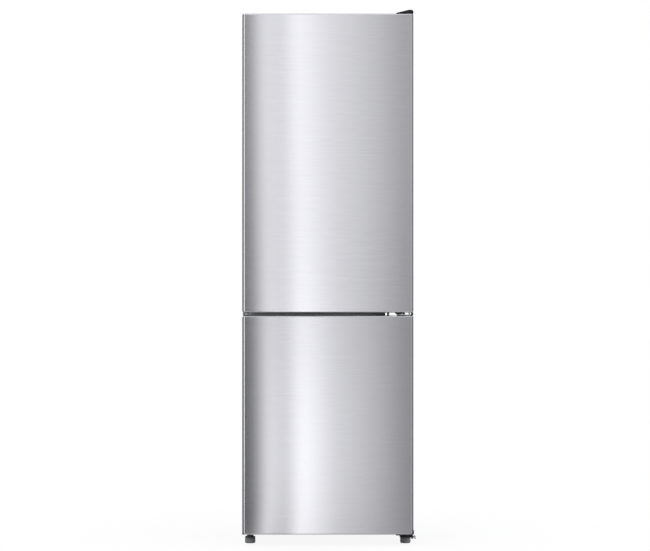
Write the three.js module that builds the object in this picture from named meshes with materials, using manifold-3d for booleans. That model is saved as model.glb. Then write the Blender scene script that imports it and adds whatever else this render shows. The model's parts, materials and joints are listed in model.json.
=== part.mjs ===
// Bottom freezer refrigerator: a free-standing column with the fridge above and the freezer below.
// Millimetres, +Z up and +Y to the back. The origin is on the floor, in the middle of the footprint.

import * as THREE from "three";
import { mergeVertices } from "three/addons/utils/BufferGeometryUtils.js";
import Module from "manifold-3d";

const wasm = await Module();
wasm.setup();

// ---- Overall sizes ----
const cabinetWidth = 595; // both doors have this width too
const cabinetDepth = 535; // from the front plane, where the gaskets close, to the back panel
const doorThickness = 60;
const gasketDepth = 12; // between a closed door and the cabinet
const spacerDepth = 43; // holds the back panel this far off the wall
const baseHeight = 30; // floor to the underside of the base frame
const doorLift = 8; // lower door above the underside of the base frame
const freezerDoorHeight = 759;
const doorGap = 14;
const fridgeDoorHeight = 1036;
const topReveal = 2; // cabinet top above the upper door
const hingeCoverRise = 11; // hinge cover above the cabinet top

// ---- Sheets, walls and clearances ----
const sheet = 1; // steel sheet of the casing and the door skins
const hem = 2; // folded front edges of the casing
const hemWidth = 18;
const baseLipHeight = 30; // front edge of the base frame
const headerHeight = 20; // front edge of the top panel
const linerWall = 2;
const trayWall = 2.5; // drawers and door bins
const seat = 0.3; // between a moving piece and what carries it
const bond = 1; // pieces of one solid reach this far into each other
const past = 1; // a cut runs this far past the face it opens
const fridgeSideWall = 50;
const freezerSideWall = 75;
const fridgeBackWall = 60;
const freezerBackWall = 75;
const roofWall = 54;
const floorWall = 60;
const dividerInset = 33; // each compartment starts this far from the doors' facing edges
const linerRadius = 20;

// ---- Machine compartment, low at the back ----
const machineDepth = 210;
const machineHeight = 230;
const humpWall = 55; // insulation between it and the freezer

// ---- Doors ----
const doorCorner = 8; // rounded vertical edges of the skin
const skinReturn = 11; // skin folded in behind the door
const capHeight = 22;
const gripFromSide = 87.5;
const gripDepth = 24;
const gripRise = 14;
const gripFromFront = 14;
const gasketInset = 12;
const gasketWidth = 18;
const dykeReach = 42; // ridge round the fridge door's liner
const dykeWidth = 18;
const dykeClearance = 7.5;
const freezerPanelReach = 20;
const freezerPanelClearance = 8.5;

// ---- Hinges ----
const hingeFromSide = 15;
const hingeFromFront = 22;
const pinRadius = 4;
const boreRadius = 4.6;
const pinReach = 15;
const boreDepth = 17;
const washerRadius = 9;
const hingePlate = 3;
const hingePlateLeft = 20;
const hingePlateRight = 12;
const topPlateBack = 88; // from the axis
const coverWidth = 61;
const coverFront = 18; // ahead of the axis
const coverLength = 160;
const coverWall = 2;
const coverPeakLeft = 45; // along the cover, from its thin end
const coverPeakRight = 56;
const coverEndDrop = 5;
const coverTipWalls = 4; // its thin end is solid for this many walls
const middleFlangeWidth = 87;
const middleFlangeHeight = 12;
const middleFlange = 2;
const bottomPlateBack = 80; // from the axis
const tabReach = 7.5; // out past the cabinet's side
const tabLength = 26;
const tabDrop = 8;
const sensorGap = 2; // behind the hinge plate
const sensorSize = 20;
const sensorHeight = 5;

// ---- Shelves ----
const shelfThickness = 4;
const shelfFront = 115; // behind the cabinet's front plane
const shelfBackGap = 22; // before the fridge's back wall
const shelfSideGap = 1;
const shelfTrimHeight = 14;
const shelfTrimDepth = 10;
const ledgeReach = 12;
const ledgeHeight = 6;
const crisperCoverHeight = 206; // above the fridge floor, like each shelf below
const shelfHeights = { shelf_lower: 371, shelf_middle: 556, shelf_upper: 746 };

// ---- Drawers ----
const crisperSideGap = 20.5; // to the fridge's side walls
const crisperFront = 137; // behind the front plane
const crisperBackGap = 22;
const crisperTopGap = 2; // below the front trim of its cover
const drawerSideGap = 20.5; // to the freezer's side walls
const drawerFront = 48; // behind the front plane
const drawerBackGap = 8; // before the evaporator's cover
const lowDrawerBackGap = 11; // before the wall over the machine compartment
const drawerSpacing = 18; // above each of the two upper drawers
const lowDrawerRise = 10; // ledge of the lowest drawer above the freezer floor
const lowDrawerTopGap = 28; // to the middle drawer
const drawerAboveHump = 11;
const drawerLip = 18; // front of a drawer above its sides
const drawerFrontWall = 6;
const recessDepth = 3;
const recessWidth = 180;
const recessHeight = 28;
const recessFromTop = 14;
const runnerHeight = 8;

// ---- Door bins ----
const binDepth = 110;
const binBottle = { rise: 70, height: 120 }; // above the door's lower edge
const binMiddle = { rise: 390, height: 90 };
const binDairy = { rise: 690, height: 90 };
const lugWidth = 8;
const lugLength = 30;
const lugHeight = 8;
const flapThickness = 2.5;
const flapLip = 12;
const flapPin = 3;

// ---- Cold side ----
const coverPanel = 3;
const evaporatorRoom = 57; // between the cover panel and the back wall
const fanFromCeiling = 64; // fan axis below the freezer ceiling
const fanHole = 46;
const fanRadius = 41;
const fanHub = 12;
const fanLength = 12;
const fanGap = 2; // to its motor
const fanBlades = 5;
const bladeThickness = 1.6;
const bladeChord = 20;
const bladePitch = 0.5; // radians
const bladeRoot = 2; // depth of a blade in the hub
const shaftRadius = 2.5;
const motorRadius = 22;
const motorLength = 38;
const airSlot = 8;
const airSlotCount = 4;
const airSlotPitch = 20;
const airSlotWidth = 300;
const ductWidth = 160;
const ductDepth = 15;
const ductRise = 222;
const ductFromCeiling = 39;
const ductSlotWidth = 60;
const evaporatorTube = 4;
const evaporatorRuns = 10;
const evaporatorSideGap = 42.5; // to the freezer's side walls
const evaporatorPlateInset = 20;
const evaporatorPlateGap = 2; // to the cover panel
const evaporatorAboveHump = 28;
const evaporatorBelowFan = 48; // to the fan motor

// ---- Controls ----
const housingWidth = 300;
const housingLength = 190;
const housingHeight = 35;
const housingFront = 123;
const housingWall = 2.5;
const lampWidth = 120;
const lampLength = 100;
const lampHeight = 8;
const knobFromEnd = 60; // of the housing
const knobRadius = 15;
const knobLength = 12;
const knobShaft = 3;
const knobShaftLength = 8;
const knobMark = 2;

// ---- Feet and rollers ----
const footFromSide = 25.5;
const footFromFront = 15;
const footRadius = 17.2;
const footFlute = 0.8;
const footFlutes = 14;
const footHeight = 24;
const neckRadius = 11.5;
const stemRadius = 5;
const stemClearance = 0.4;
const bossSize = 24;
const bossHeight = 12;
const rollerRadius = 13;
const rollerWidth = 20;
const rollerFromSide = 97.5;
const rollerFromBack = 32;
const axleRadius = 3;
const lugInset = 3; // bracket is narrower than the roller, at each end
const lugPastAxle = 4;
const axleClearance = 0.4;
const lugThickness = 2;
const rollerGap = 1;

// ---- Warm side ----
const compressorFromSide = 177.5;
const compressorRadius = 76;
const compressorFromBack = 104;
const compressorLift = 18; // on its rubber feet
const trayHeadroom = 23.7; // above the drip tray
const domeHeight = 40;
const domeInset = 38; // flat ends of the shell, in from its girth
const domeSteps = 4;
const compressorPlate = 3;
const compressorPlateHalf = 70;
const rubberRadius = 9;
const dripTrayHeight = 22;
const dripTrayLength = 180;
const dripTrayWidth = 200;
const hoseRadius = 8;
const hoseBore = 6;
const hoseGap = 1; // to the compartment's ceiling
const hoseFromTrayEnd = 40;
const hoseBend = 20;
const coilTube = 2.5;
const coilRuns = 13;
const coilPitch = 90;
const coilFromSide = 57.5;
const coilRise = 300; // lowest run above the underside of the base frame
const coilStandoff = 20;
const strapPast = 45; // coil's straps past its first and last runs
const riserFromSide = 29.5;
const strapInset = 80; // from the ends of the runs
const strapWidth = 12;
const leadBend = 12;
const leadLength = 57;
const drierRadius = 11;
const drierLength = 104;
const inletWidth = 60;
const inletDepth = 45;
const inletHeight = 48;
const inletFromSide = 207.5;
const socketWidth = 30;
const socketHeight = 24;
const inletWall = 4;
const spacerWidth = 40;
const spacerHeight = 30;
const spacerCorner = 7.5;
const spacerFromSide = 97.5;
const spacerFromTop = 74;
const plugRadius = 4;
const plugHead = 1.5;
const plugPitch = 13;
const plugFromSide = 13.5;
const railDepth = 20;

// ---- Sides of the round shapes ----
const pinSides = 12;
const wheelSides = 24;
const holeSides = 32;
const hoseSides = 10;
const shellSides = 20;

// ---- Planes that the pieces share ----
const half = cabinetWidth / 2;
const totalDepth = doorThickness + gasketDepth + cabinetDepth + spacerDepth;
const doorFront = -totalDepth / 2;
const cabinetFront = doorFront + doorThickness + gasketDepth;
const cabinetBack = cabinetFront + cabinetDepth;
const freezerDoorBottom = baseHeight + doorLift;
const freezerDoorTop = freezerDoorBottom + freezerDoorHeight;
const fridgeDoorBottom = freezerDoorTop + doorGap;
const fridgeDoorTop = fridgeDoorBottom + fridgeDoorHeight;
const cabinetTop = fridgeDoorTop + topReveal;
const hingeX = half - hingeFromSide;
const hingeY = doorFront + hingeFromFront;
const innerHalf = half - sheet;
const hemHalf = half - hemWidth;
const foamFront = cabinetFront + hem;
const baseTop = baseHeight + 2 * sheet;
const baseLipTop = baseHeight + baseLipHeight;
const railBottom = freezerDoorTop - gasketInset;
const railTop = fridgeDoorBottom + gasketInset;
const headerBottom = cabinetTop - headerHeight;
const machineFront = cabinetBack - machineDepth;
const machineTop = baseTop + machineHeight;

const fridgeHalf = half - fridgeSideWall;
const fridgeFloor = fridgeDoorBottom + dividerInset;
const fridgeCeiling = cabinetTop - roofWall;
const fridgeBack = cabinetBack - fridgeBackWall;
const freezerHalf = half - freezerSideWall;
const freezerFloor = baseHeight + floorWall;
const freezerCeiling = freezerDoorTop - dividerInset;
const freezerBack = cabinetBack - freezerBackWall;
const humpFront = machineFront - humpWall;
const humpTop = machineTop + humpWall;

const panelBack = freezerBack - evaporatorRoom;
const panelY = [panelBack - coverPanel, panelBack];
const fanZ = freezerCeiling - fanFromCeiling;

const footX = half - footFromSide;
const footY = cabinetFront + footFromFront;

// ---- Finishes ----
const brushedSteel = { color: 0xb9bbc1, roughness: 0.32, metalness: 1 };
const paintedSteel = { color: 0x9b9da1, roughness: 0.5, metalness: 0.3 };
const zincSteel = { color: 0xb4b6b8, roughness: 0.4, metalness: 1 };
const darkPlastic = { color: 0x4a4b4e, roughness: 0.5, metalness: 0 };
const blackPlastic = { color: 0x1c1d1f, roughness: 0.5, metalness: 0 };
const whitePlastic = { color: 0xeef0f1, roughness: 0.4, metalness: 0 };
const greyRubber = { color: 0xc6c8ca, roughness: 0.8, metalness: 0 };
const foam = { color: 0xe3cf8f, roughness: 0.95, metalness: 0 };
const glass = { color: 0xcfe3df, roughness: 0.08, metalness: 0 };
const clearPlastic = { color: 0xdfe8ee, roughness: 0.15, metalness: 0 };
const blackEnamel = { color: 0x17181a, roughness: 0.35, metalness: 0.2 };
const aluminium = { color: 0xc9ccd0, roughness: 0.45, metalness: 1 };
const copper = { color: 0xb6714a, roughness: 0.35, metalness: 1 };

// ---- Shapes ----

// A closed three.js geometry as a solid that can be joined and cut.
function solid(geometry) {
  const bare = new THREE.BufferGeometry();
  bare.setAttribute("position", geometry.getAttribute("position"));
  bare.setIndex(geometry.index);
  const merged = mergeVertices(bare);
  const places = merged.getAttribute("position").array;
  const corners = merged.index.array;
  const a = new THREE.Vector3();
  const b = new THREE.Vector3();
  const c = new THREE.Vector3();
  const faces = [];
  let volume = 0;
  for (let i = 0; i < corners.length; i += 3) {
    const [p, q, r] = [corners[i], corners[i + 1], corners[i + 2]];
    if (p === q || q === r || r === p) continue;
    faces.push([p, q, r]);
    a.fromArray(places, 3 * p);
    b.fromArray(places, 3 * q);
    c.fromArray(places, 3 * r);
    volume += a.dot(b.cross(c));
  }
  const turned = volume < 0 ? faces.map(([p, q, r]) => [p, r, q]) : faces;
  const triVerts = Uint32Array.from(turned.flat());
  const vertProperties = Float32Array.from(places);
  return new wasm.Manifold(new wasm.Mesh({ numProp: 3, vertProperties, triVerts }));
}

function moveEachPoint(geometry, place) {
  const at = geometry.getAttribute("position");
  for (let i = 0; i < at.count; i++) {
    at.setXYZ(i, ...place(at.getX(i), at.getY(i), at.getZ(i)));
  }
  return geometry;
}

// A block between two places on each axis, whose faces lie exactly on them.
function block([x0, x1], [y0, y1], [z0, z1]) {
  const unit = new THREE.BoxGeometry(1, 1, 1);
  return solid(moveEachPoint(unit, (x, y, z) => [x < 0 ? x0 : x1, y < 0 ? y0 : y1, z < 0 ? z0 : z1]));
}

// An outline drawn across one axis, made solid between two places on that axis.
// Its own two directions are Y and Z for "x", X and Z for "y", and X and Y for "z".
function prism(outline, axis, [from, to]) {
  const geometry = new THREE.ExtrudeGeometry(outline, { depth: 1, bevelEnabled: false, curveSegments: 4 });
  const order = { x: (u, v, w) => [w, u, v], y: (u, v, w) => [u, w, v], z: (u, v, w) => [u, v, w] }[axis];
  return solid(moveEachPoint(geometry, (u, v, w) => order(u, v, w < 0.5 ? from : to)));
}

function roundOutline([u0, u1], [v0, v1], radius) {
  const quarter = Math.PI / 2;
  const outline = new THREE.Shape();
  outline.absarc(u0 + radius, v0 + radius, radius, 2 * quarter, 3 * quarter);
  outline.absarc(u1 - radius, v0 + radius, radius, 3 * quarter, 4 * quarter);
  outline.absarc(u1 - radius, v1 - radius, radius, 0, quarter);
  outline.absarc(u0 + radius, v1 - radius, radius, quarter, 2 * quarter);
  return outline;
}

function polygon(points) {
  return new THREE.Shape(points.map(([u, v]) => new THREE.Vector2(u, v)));
}

function ringOutline(u, v, radiusAt, count) {
  const points = [];
  for (let i = 0; i < count; i++) {
    const turn = (2 * Math.PI * i) / count;
    points.push([u + radiusAt(turn) * Math.cos(turn), v + radiusAt(turn) * Math.sin(turn)]);
  }
  return polygon(points);
}

// A round bar along one axis, centred on the place (u, v) across it.
function rod(axis, [u, v], radius, range, sides = 16) {
  return prism(ringOutline(u, v, () => radius, sides), axis, range);
}

// A route with a ring only where it starts, bends and ends.
const stepsPerBend = 3;
class BentRoute extends THREE.Curve {
  constructor(corners) {
    super();
    const points = corners.map(({ at }) => new THREE.Vector3(...at));
    this.rings = [{ at: points[0], along: points[1].clone().sub(points[0]).normalize() }];
    for (let i = 1; i < points.length - 1; i++) {
      const into = points[i].clone().sub(points[i - 1]).normalize();
      const out = points[i + 1].clone().sub(points[i]).normalize();
      const bend = corners[i].bend;
      const centre = points[i].clone().addScaledVector(into, -bend).addScaledVector(out, bend);
      for (let k = 0; k <= stepsPerBend; k++) {
        const turn = ((Math.PI / 2) * k) / stepsPerBend;
        const at = centre.clone().addScaledVector(out, -bend * Math.cos(turn));
        at.addScaledVector(into, bend * Math.sin(turn));
        const along = into.clone().multiplyScalar(Math.cos(turn)).addScaledVector(out, Math.sin(turn));
        const before = this.rings[this.rings.length - 1].at;
        if (at.distanceTo(before) > 0.01) this.rings.push({ at, along });
      }
    }
    const last = points[points.length - 1];
    this.rings.push({ at: last, along: last.clone().sub(points[points.length - 2]).normalize() });
  }

  ring(u) {
    return this.rings[Math.round(u * (this.rings.length - 1))];
  }

  getPointAt(u) {
    return this.ring(u).at.clone();
  }

  getTangentAt(u) {
    return this.ring(u).along.clone();
  }
}

// A round tube through the corners. Each is a square turn with its own bend radius.
function bentTube(corners, radius, sides = 6) {
  const route = new BentRoute(corners);
  const outline = ringOutline(0, 0, () => radius, sides);
  return solid(new THREE.ExtrudeGeometry(outline, { steps: route.rings.length - 1, extrudePath: route }));
}

// The corners of a tube that runs to and fro across X, each run one pitch above the last.
function serpentine(reach, y, firstZ, pitch, runs) {
  const corners = [];
  for (let run = 0; run < runs; run++) {
    const side = run % 2 ? 1 : -1;
    for (const x of [side * reach, -side * reach]) {
      corners.push({ at: [x, y, firstZ + run * pitch], bend: pitch / 2 });
    }
  }
  return corners;
}

function joinAll(solids) {
  return solids.reduce((whole, next) => whole.add(next));
}

function cutAll(whole, tools) {
  return tools.reduce((rest, tool) => rest.subtract(tool), whole);
}

const around = (centre, size) => [centre - size / 2, centre + size / 2];
const evenly = (reach) => [-reach, reach];
const widened = ([from, to], by) => [from - by, to + by];

// ---- The scene ----
const refrigerator = new THREE.Group();

function group(x, y, z, parent = refrigerator) {
  const made = new THREE.Group();
  made.position.set(x, y, z);
  parent.add(made);
  return made;
}

function piece(parent, name, body, finish) {
  const { vertProperties, triVerts } = body.getMesh();
  const geometry = new THREE.BufferGeometry();
  geometry.setAttribute("position", new THREE.BufferAttribute(vertProperties, 3));
  geometry.setIndex(new THREE.BufferAttribute(triVerts, 1));
  geometry.computeVertexNormals();
  const mesh = new THREE.Mesh(geometry, new THREE.MeshStandardMaterial(finish));
  mesh.name = name;
  parent.add(mesh);
}

// ---- Cabinet ----
const cabinet = group(0, 0, 0);

function sidePanel(side) {
  const wall = [side * innerHalf, side * half].sort((a, b) => a - b);
  const edge = [side * hemHalf, side * half].sort((a, b) => a - b);
  return block(wall, [foamFront, cabinetBack], [baseHeight, cabinetTop]).add(
    block(edge, [cabinetFront, foamFront], [baseHeight, cabinetTop]),
  );
}

piece(cabinet, "side_panel_left", sidePanel(-1), paintedSteel);
piece(cabinet, "side_panel_right", sidePanel(1), paintedSteel);
piece(
  cabinet,
  "top_panel",
  block(evenly(innerHalf), [foamFront, cabinetBack], [cabinetTop - sheet, cabinetTop]).add(
    block(evenly(hemHalf), [cabinetFront, foamFront], [headerBottom, cabinetTop]),
  ),
  paintedSteel,
);
piece(
  cabinet,
  "back_panel",
  block(evenly(innerHalf), [cabinetBack - sheet, cabinetBack], [machineTop, cabinetTop - sheet]),
  zincSteel,
);

// The compartments, each as blocks of the air inside it.
const fridgeAir = [
  { x: evenly(fridgeHalf), y: [foamFront, fridgeBack], z: [fridgeFloor, fridgeCeiling] },
];
const freezerAir = [
  {
    x: evenly(freezerHalf),
    y: [foamFront, humpFront],
    z: [freezerFloor, humpTop + 2 * linerRadius],
  },
  { x: evenly(freezerHalf), y: [foamFront, freezerBack], z: [humpTop, freezerCeiling] },
];

function linerHole({ x, y, z }) {
  return block(widened(x, linerWall), [y[0], y[1] + linerWall], widened(z, linerWall));
}

// A thin shell round the air, with a flange on the cabinet's front plane.
function liner(air, flangeZ) {
  const shells = air.map(({ x, y, z }) =>
    prism(roundOutline(widened(x, linerWall), widened(z, linerWall), linerRadius + linerWall), "y", [
      y[0],
      y[1] + linerWall,
    ]),
  );
  const rooms = air.map(({ x, y, z }) =>
    prism(roundOutline(x, z, linerRadius), "y", [cabinetFront - linerWall, y[1]]),
  );
  const flange = block(evenly(hemHalf), [cabinetFront, foamFront], flangeZ);
  return cutAll(joinAll([...shells, flange]), rooms);
}

// A ledge on each side wall, for a shelf or a drawer to lie on.
function ledges(wallAt, reach, y, z) {
  return [-1, 1].map((side) => {
    const x = [side * (wallAt - reach), side * (wallAt + linerWall / 2)].sort((a, b) => a - b);
    return block(x, y, z);
  });
}

const shelfY = [cabinetFront + shelfFront, fridgeBack - shelfBackGap];
const shelves = { crisper_cover: crisperCoverHeight, ...shelfHeights };
const fridgeLedges = Object.values(shelves).flatMap((rise) =>
  ledges(fridgeHalf, ledgeReach, shelfY, [fridgeFloor + rise - ledgeHeight, fridgeFloor + rise]),
);
piece(
  cabinet,
  "fridge_liner",
  joinAll([liner(fridgeAir, [railTop, headerBottom]), ...fridgeLedges]),
  whitePlastic,
);

// The two upper drawers share the height above the hump. The lowest one stands before it.
const drawerHalf = freezerHalf - drawerSideGap;
const drawerY = cabinetFront + drawerFront;
const drawerDepth = panelY[0] - drawerBackGap - drawerY;
const lowDrawerDepth = humpFront - lowDrawerBackGap - drawerY;
const lowDrawerZ = freezerFloor + lowDrawerRise;
const midDrawerZ = humpTop + drawerAboveHump;
const drawerHeight = (freezerCeiling - midDrawerZ) / 2 - drawerSpacing;
const topDrawerZ = midDrawerZ + drawerHeight + drawerSpacing;
const lowDrawerHeight = midDrawerZ - lowDrawerTopGap - lowDrawerZ;
const freezerDrawers = [
  { name: "freezer_drawer_bottom", z: lowDrawerZ, depth: lowDrawerDepth, height: lowDrawerHeight },
  { name: "freezer_drawer_middle", z: midDrawerZ, depth: drawerDepth, height: drawerHeight },
  { name: "freezer_drawer_top", z: topDrawerZ, depth: drawerDepth, height: drawerHeight },
];
const runnerReach = drawerSideGap + runnerHeight;
const runners = freezerDrawers.flatMap(({ z, depth }) =>
  ledges(freezerHalf, runnerReach, [drawerY, drawerY + depth], [z - runnerHeight, z]),
);
piece(
  cabinet,
  "freezer_liner",
  joinAll([liner(freezerAir, [baseLipTop, railBottom]), ...runners]),
  whitePlastic,
);

const railZ = [railBottom, railTop];
const railBack = cabinetFront + railDepth;
const railEnvelope = block(evenly(hemHalf), [cabinetFront, railBack], railZ);
const railHollow = block(evenly(hemHalf), [foamFront, railBack], widened(railZ, -hem));
piece(cabinet, "center_rail", railEnvelope.subtract(railHollow), paintedSteel);

const feet = { foot_left: -footX, foot_right: footX };
const bosses = Object.values(feet).map((x) =>
  block(around(x, bossSize), around(footY, bossSize), [baseTop, baseTop + bossHeight]),
);
const foamBlock = block(
  evenly(innerHalf),
  [foamFront, cabinetBack - sheet],
  [baseTop, cabinetTop - sheet],
);
const machineRoom = block(evenly(innerHalf), [machineFront, cabinetBack], [baseTop, machineTop]);
piece(
  cabinet,
  "cabinet_foam",
  cutAll(foamBlock, [
    ...[...fridgeAir, ...freezerAir].map(linerHole),
    machineRoom,
    railEnvelope,
    ...bosses,
  ]),
  foam,
);

for (const [i, name] of ["blanking_plug_left", "blanking_plug_right"].entries()) {
  const at = [-half + plugFromSide + i * plugPitch, (railBottom + railTop) / 2];
  piece(cabinet, name, rod("y", at, plugRadius, [cabinetFront - plugHead, cabinetFront]), greyRubber);
}

// ---- Base frame, feet and rollers ----
const rollers = { roller_left: -(half - rollerFromSide), roller_right: half - rollerFromSide };
const rollerY = cabinetBack - rollerFromBack;
const bracketGap = rollerWidth + 2 * rollerGap;

function rollerBracket(x) {
  const across = around(rollerY, 2 * (rollerRadius - lugInset));
  const drop = [rollerRadius - axleRadius - lugPastAxle, baseTop - sheet];
  const lugs = [-1, 1].map((side) =>
    block(around(x + (side * (bracketGap + lugThickness)) / 2, lugThickness), across, drop),
  );
  const axle = rod("x", [rollerY, rollerRadius], axleRadius, around(x, bracketGap + lugThickness), pinSides);
  return joinAll([...lugs, axle]);
}

const basePlate = block(evenly(innerHalf), [foamFront, cabinetBack], [baseHeight, baseTop]);
const baseLip = block(evenly(hemHalf), [cabinetFront, foamFront], [baseHeight, baseLipTop]);
const stemHoles = Object.values(feet).map((x) =>
  rod("z", [x, footY], stemRadius + stemClearance, [0, baseTop + 2 * bossHeight]),
);
piece(
  cabinet,
  "base_frame",
  cutAll(
    joinAll([basePlate, baseLip, ...bosses, ...Object.values(rollers).map(rollerBracket)]),
    stemHoles,
  ),
  zincSteel,
);

for (const [name, x] of Object.entries(feet)) {
  const seatAt = name === "foot_right" ? baseHeight - hingePlate : baseHeight;
  const foot = group(x, footY, 0);
  const fluted = (turn) => footRadius + footFlute * Math.cos(footFlutes * turn);
  const pad = prism(ringOutline(0, 0, fluted, 4 * footFlutes), "z", [0, footHeight]);
  const neck = rod("z", [0, 0], neckRadius, [footHeight - bond, seatAt - seat]);
  const stem = rod("z", [0, 0], stemRadius, [footHeight - bond, baseTop + bossHeight], pinSides);
  piece(foot, name, joinAll([pad, neck, stem]), darkPlastic);
}

for (const [name, x] of Object.entries(rollers)) {
  const roller = group(x, rollerY, rollerRadius);
  const rim = rod("x", [0, 0], rollerRadius, around(0, rollerWidth), wheelSides);
  const boreX = widened(around(0, rollerWidth), past);
  const bore = rod("x", [0, 0], axleRadius + axleClearance, boreX, pinSides);
  piece(roller, name, rim.subtract(bore), darkPlastic);
}

// ---- Hinges ----
const pinAt = [hingeX, hingeY];
const plateX = [hingeX - hingePlateLeft, hingeX + hingePlateRight];
const topPlateY = [hingeY - hingePlateRight, hingeY + topPlateBack];
const topPlate = block(plateX, topPlateY, [cabinetTop, cabinetTop + hingePlate]);
const topPin = rod("z", pinAt, pinRadius, [fridgeDoorTop - pinReach, cabinetTop + bond], pinSides);
piece(cabinet, "top_hinge", topPlate.add(topPin), zincSteel);

const sensorY = [topPlateY[1] + sensorGap, topPlateY[1] + sensorGap + sensorSize];
const sensorZ = [cabinetTop, cabinetTop + sensorHeight];
piece(cabinet, "door_sensor", block(around(hingeX, sensorSize), sensorY, sensorZ), blackPlastic);

// The cover rises in a wedge from its thin left end. The inset makes the hollow under it.
function coverOutline(inset) {
  const top = cabinetTop + hingeCoverRise - inset;
  const left = half - coverWidth;
  return polygon([
    [left + coverTipWalls * inset, cabinetTop],
    [half - inset, cabinetTop],
    [half - inset, top - coverEndDrop],
    [left + coverPeakRight - inset / 2, top],
    [left + coverPeakLeft + inset / 2, top],
  ]);
}
const coverY = [hingeY - coverFront, hingeY - coverFront + coverLength];
piece(
  cabinet,
  "top_hinge_cover",
  prism(coverOutline(0), "y", coverY).subtract(
    prism(coverOutline(coverWall), "y", widened(coverY, -coverWall)),
  ),
  blackPlastic,
);

const gapMiddle = freezerDoorTop + doorGap / 2;
const flangeX = [plateX[1] - middleFlangeWidth, plateX[1]];
const flangeY = [cabinetFront - middleFlange, cabinetFront];
const armOutline = polygon([
  [flangeX[0] + middleFlangeHeight, flangeY[1]],
  [plateX[0], topPlateY[0]],
  [plateX[1], topPlateY[0]],
  [plateX[1], flangeY[1]],
]);
piece(
  cabinet,
  "middle_hinge",
  joinAll([
    block(flangeX, flangeY, around(gapMiddle, middleFlangeHeight)),
    prism(armOutline, "z", around(gapMiddle, hingePlate)),
    rod("z", pinAt, washerRadius, [freezerDoorTop + seat, fridgeDoorBottom - seat]),
    rod("z", pinAt, pinRadius, [freezerDoorTop - pinReach, fridgeDoorBottom + pinReach], pinSides),
  ]),
  zincSteel,
);

const bottomPlateZ = [baseHeight - hingePlate, baseHeight];
const tabX = [half + tabReach - hingePlate, half + tabReach];
const tabY = around(hingeY, tabLength);
piece(
  cabinet,
  "bottom_hinge",
  joinAll([
    block([plateX[0] - hingePlateRight, half], [topPlateY[0], hingeY + bottomPlateBack], bottomPlateZ),
    block([plateX[1], tabX[1]], tabY, bottomPlateZ),
    block(tabX, tabY, [baseHeight - tabDrop, baseHeight]),
    rod("z", pinAt, washerRadius, [bottomPlateZ[1] - bond, freezerDoorBottom - seat]),
    rod("z", pinAt, pinRadius, [bottomPlateZ[1] - bond, freezerDoorBottom + pinReach], pinSides),
  ]).subtract(rod("z", [footX, footY], stemRadius + stemClearance, [0, baseTop])),
  zincSteel,
);

// ---- Doors ----
// A door is drawn from the middle of its lower front edge, with Y towards the cabinet.
function doorBlock(inset, y1, z) {
  const past = [inset, doorThickness + 2 * doorCorner];
  const outline = roundOutline(evenly(half - inset), past, doorCorner - inset);
  return prism(outline, "z", z).intersect(block(evenly(half), [0, y1], z));
}

// What fills a door, flat across the two front corners so that it stays clear of the skin's curve.
function doorFilling(y1, z) {
  const cut = doorCorner + 2 * sheet;
  const corners = [-1, 1].map((side) =>
    prism(polygon([[side * half, 0], [side * (half - cut), 0], [side * half, cut]]), "z", z),
  );
  return cutAll(block(evenly(innerHalf), [sheet, y1], z), corners);
}

function gasketRing(height) {
  const y = [doorThickness, doorThickness + gasketDepth - seat];
  const outer = block(evenly(half - gasketInset), y, [gasketInset, height - gasketInset]);
  const opening = block(
    evenly(half - gasketInset - gasketWidth),
    widened(y, past),
    widened([gasketInset, height - gasketInset], -gasketWidth),
  );
  return outer.subtract(opening);
}

function makeDoor(prefix, bottom, height, { ridge, fill, extras = [] }) {
  const door = group(0, doorFront, bottom);
  const backHalf = half - skinReturn;
  const linerY = doorThickness - linerWall;
  const coreZ = [capHeight, height - capHeight];
  const skin = cutAll(doorBlock(0, doorThickness, [0, height]), [
    doorBlock(sheet, doorThickness - sheet, [0, height]),
    block(evenly(backHalf), [doorThickness / 2, doorThickness], [0, height]),
  ]);
  piece(door, `${prefix}_skin`, skin, brushedSteel);

  const insideDoor = (z) =>
    doorFilling(linerY, z).add(block(evenly(backHalf), [linerY, doorThickness], z));
  const bore = (z) => rod("z", [hingeX, hingeFromFront], boreRadius, z, pinSides);
  const grip = (z) => block(evenly(half - gripFromSide), around(gripFromFront + gripDepth / 2, gripDepth), z);
  const isUpper = prefix === "fridge_door";
  const topCap = cutAll(insideDoor([height - capHeight, height]), [bore([height - boreDepth, height])]);
  const bottomCap = cutAll(insideDoor([0, capHeight]), [bore([0, boreDepth])]);
  const topGrip = grip([height - gripRise, height]);
  const bottomGrip = grip([0, gripRise]);
  piece(door, `${prefix}_top_cap`, isUpper ? topCap : topCap.subtract(topGrip), darkPlastic);
  piece(door, `${prefix}_bottom_cap`, isUpper ? bottomCap.subtract(bottomGrip) : bottomCap, darkPlastic);

  piece(door, `${prefix}_core`, doorFilling(linerY, coreZ).add(fill), foam);
  const plate = block(evenly(backHalf), [linerY, doorThickness], coreZ);
  piece(door, `${prefix}_liner`, joinAll([plate, ridge, ...extras]).subtract(fill), whitePlastic);
  piece(door, `${prefix}_gasket`, gasketRing(height), greyRubber);
  return door;
}

const doorAir = ({ x, z }, bottom, clearance) => ({
  x: widened(x, -clearance),
  z: widened([z[0] - bottom, z[1] - bottom], -clearance),
});

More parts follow.
